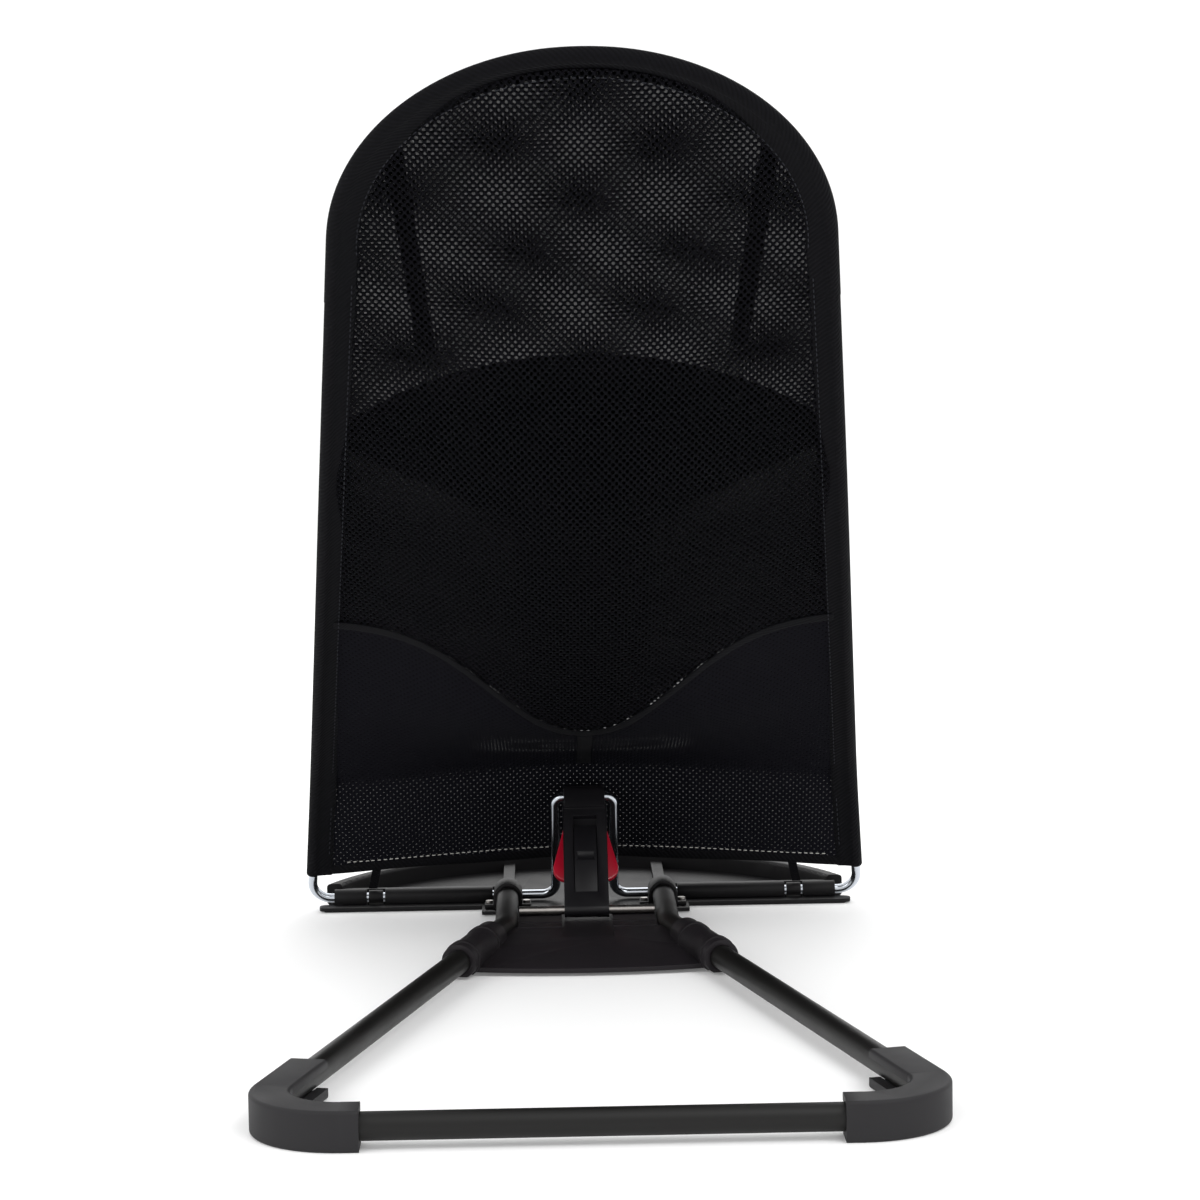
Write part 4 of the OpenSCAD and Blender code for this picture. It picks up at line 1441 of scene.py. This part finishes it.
@dataclass(frozen=True)
class Frame:
    """The base, the wires, the prop and the tray.

    Attributes:
        mouldings: the parts that are copied and rounded.
        metals: the CAD nodes that stay as they are, each with its finish.
    """

    mouldings: tuple[Moulding, ...] = (
        Moulding("front_tray", "base", "tray_plastic", PALETTE.abs_black, 0.6),
        Moulding("prop_deck", "base", "deck_plastic", PALETTE.deck_nylon, 0.5),
        Moulding("tube_clamps", "base", "tray_plastic", PALETTE.abs_black, 0.6),
        Moulding("run_cover_left", "base", "tray_plastic", PALETTE.abs_black, 0.5),
        Moulding("run_cover_right", "base", "tray_plastic", PALETTE.abs_black, 0.5),
        Moulding("corner_foot_left", "base", "foot_rubber", PALETTE.rubber, 2.6),
        Moulding("corner_foot_right", "base", "foot_rubber", PALETTE.rubber, 2.6),
        Moulding("tray_grips", "base", "foot_rubber", PALETTE.rubber, 0.3),
        Moulding("strap_clips", "seat", "tray_plastic", PALETTE.abs_black, 0.4),
        Moulding("flap_buttons", "seat", "tray_plastic", PALETTE.abs_black, 0.9),
        Moulding("prop_strut", "prop", "tray_plastic", PALETTE.arm_nylon, 0.7),
        Moulding("release_pad", "release", "deck_plastic", PALETTE.arm_nylon, 0.5),
        Moulding("release_wings", "release", "release_red", PALETTE.release_red, 1.0),
    )
    metals: tuple[tuple[str, Finish], ...] = (
        ("base_tube", PALETTE.tube_paint),
        ("crank_wire", PALETTE.bright_wire),
        ("seat_wire", PALETTE.bright_wire),
        ("foot_rod", PALETTE.rod_steel),
        ("clamp_screws", PALETTE.rod_steel),
    )

    def build(self) -> None:
        """Round the moulded parts and dress the metal ones where they are."""
        for part in self.mouldings:
            obj = softened_copy(part.node, part.node + "_moulded", part.rounding_mm)
            place_piece(obj, part.body, part.finish, [part.node])
        for node, finish in self.metals:
            DRESSER.dress(frame["nodes"][node], finish)
            log.info("%s: dressed in %s", node, finish.name)


# ---------------------------------------------------------------- studio


@dataclass(frozen=True)
class Lamp:
    """A square soft lamp: its name, its place, the length of its side and its power in watts."""

    name: str
    place: Point
    side: float
    power: float


@dataclass(frozen=True)
class Studio:
    """The floor, the lights and the camera.

    Attributes:
        camera_place: where the camera stands.
        pitch: how far it looks down, in degrees.
        yaw: how far it turns off the object's middle plane, in degrees.
        roll: how far it leans, in degrees.
        lens_mm: its focal length.
        floor_half_width: half the width of the floor.
        floor_front: where the floor starts, behind the camera.
        floor_back: where the floor starts to rise.
        sweep_radius: the radius of the rise.
        wall_height: how high the wall behind it is.
        lamps: the soft lamps.
        aim: what the lamps face.
    """

    camera_place: Point = (0.0244, 2.0027, 0.4322)
    pitch: float = 5.482
    yaw: float = -0.967
    roll: float = -0.899
    lens_mm: float = 97.7
    floor_half_width: float = 14.0
    floor_front: float = 6.0
    floor_back: float = -4.0
    sweep_radius: float = 2.5
    wall_height: float = 9.0
    lamps: tuple[Lamp, ...] = (
        Lamp("key_lamp", (-1.2, 1.6, 2.4), 1.6, 28.0),
        Lamp("fill_lamp", (1.8, 1.2, 1.4), 1.8, 14.0),
        Lamp("front_lamp", (0.0, -2.4, 1.8), 2.0, 18.0),
    )
    aim: Point = (0.0, 0.0, 0.2)

    def build_camera(self) -> None:
        """A long lens behind the head end, a little above it."""
        data = bpy.data.cameras.new("studio_camera")
        data.lens = self.lens_mm
        data.sensor_width = 36.0
        data.clip_end = 50.0
        camera = bpy.data.objects.new("studio_camera", data)
        bpy.context.scene.collection.objects.link(camera)
        pitch, yaw, roll = (math.radians(a) for a in (self.pitch, self.yaw, self.roll))
        level = math.cos(pitch)
        forward = Vector((math.sin(yaw) * level, -math.cos(yaw) * level, -math.sin(pitch)))
        right = Vector((-math.cos(yaw), -math.sin(yaw), 0.0))
        up = right.cross(forward)
        rolled_right = right * math.cos(roll) + up * math.sin(roll)
        rolled_up = up * math.cos(roll) - right * math.sin(roll)
        turn = Matrix((rolled_right, rolled_up, -forward)).transposed().to_4x4()
        camera.matrix_world = Matrix.Translation(Vector(self.camera_place)) @ turn
        bpy.context.scene.camera = camera

    def build_floor(self) -> None:
        """A pale floor that sweeps up behind the foot end."""
        back, radius, half = self.floor_back, self.sweep_radius, self.floor_half_width
        profile = [(self.floor_front, 0.0), (0.0, 0.0), (back, 0.0)]
        for degrees in range(6, 91, 6):
            a = math.radians(degrees)
            profile.append((back - radius * math.sin(a), radius - radius * math.cos(a)))
        profile.append((back - radius, self.wall_height))
        rows = [[(x, y, z) for x in (-half, half)] for y, z in profile]
        floor = grid_object("studio_floor", rows, [[(p[0], p[1]) for p in row] for row in rows])
        finish_faces(floor, 60.0)
        material = bpy.data.materials.new("pale_floor")
        material.use_nodes = True
        shader = material.node_tree.nodes["Principled BSDF"]
        shader.inputs["Base Color"].default_value = linear_colour("#f4f4f4")
        shader.inputs["Roughness"].default_value = 0.9
        shader.inputs["Emission Color"].default_value = (1.0, 1.0, 1.0, 1.0)
        shader.inputs["Emission Strength"].default_value = 0.12
        floor.data.materials.append(material)

    def build_light(self) -> None:
        """A white surround and the soft lamps."""
        world = bpy.data.worlds.new("studio_world")
        world.use_nodes = True
        background = world.node_tree.nodes["Background"]
        background.inputs["Color"].default_value = (1.0, 1.0, 1.0, 1.0)
        background.inputs["Strength"].default_value = 1.0
        bpy.context.scene.world = world
        for lamp in self.lamps:
            data = bpy.data.lights.new(lamp.name, "AREA")
            data.size = lamp.side
            data.energy = lamp.power
            obj = bpy.data.objects.new(lamp.name, data)
            bpy.context.scene.collection.objects.link(obj)
            obj.location = lamp.place
            facing = Vector(self.aim) - Vector(lamp.place)
            obj.rotation_euler = facing.to_track_quat("-Z", "Y").to_euler()

    def build(self) -> None:
        """Set up the whole studio."""
        self.build_camera()
        self.build_floor()
        self.build_light()
        bpy.context.scene.view_settings.view_transform = "Standard"


def main() -> None:
    """Build the object and the studio."""
    Studio().build()
    curve = SeatCurve()
    Frame().build()
    Casings(curve).build()
    sewing = Sewing(curve)
    sewing.build_hem()
    panels = ClothPanels(curve)
    panels.build_back()
    panels.build_lining()
    panels.build_legs()
    sewing.build_pouch_seam()
    sewing.build_leg_seam()
    sewing.build_stitches()
    sewing.build_straps()
    sewing.build_lining_tapes()
    Flap(curve).build()


if __name__ == "__main__":
    main()
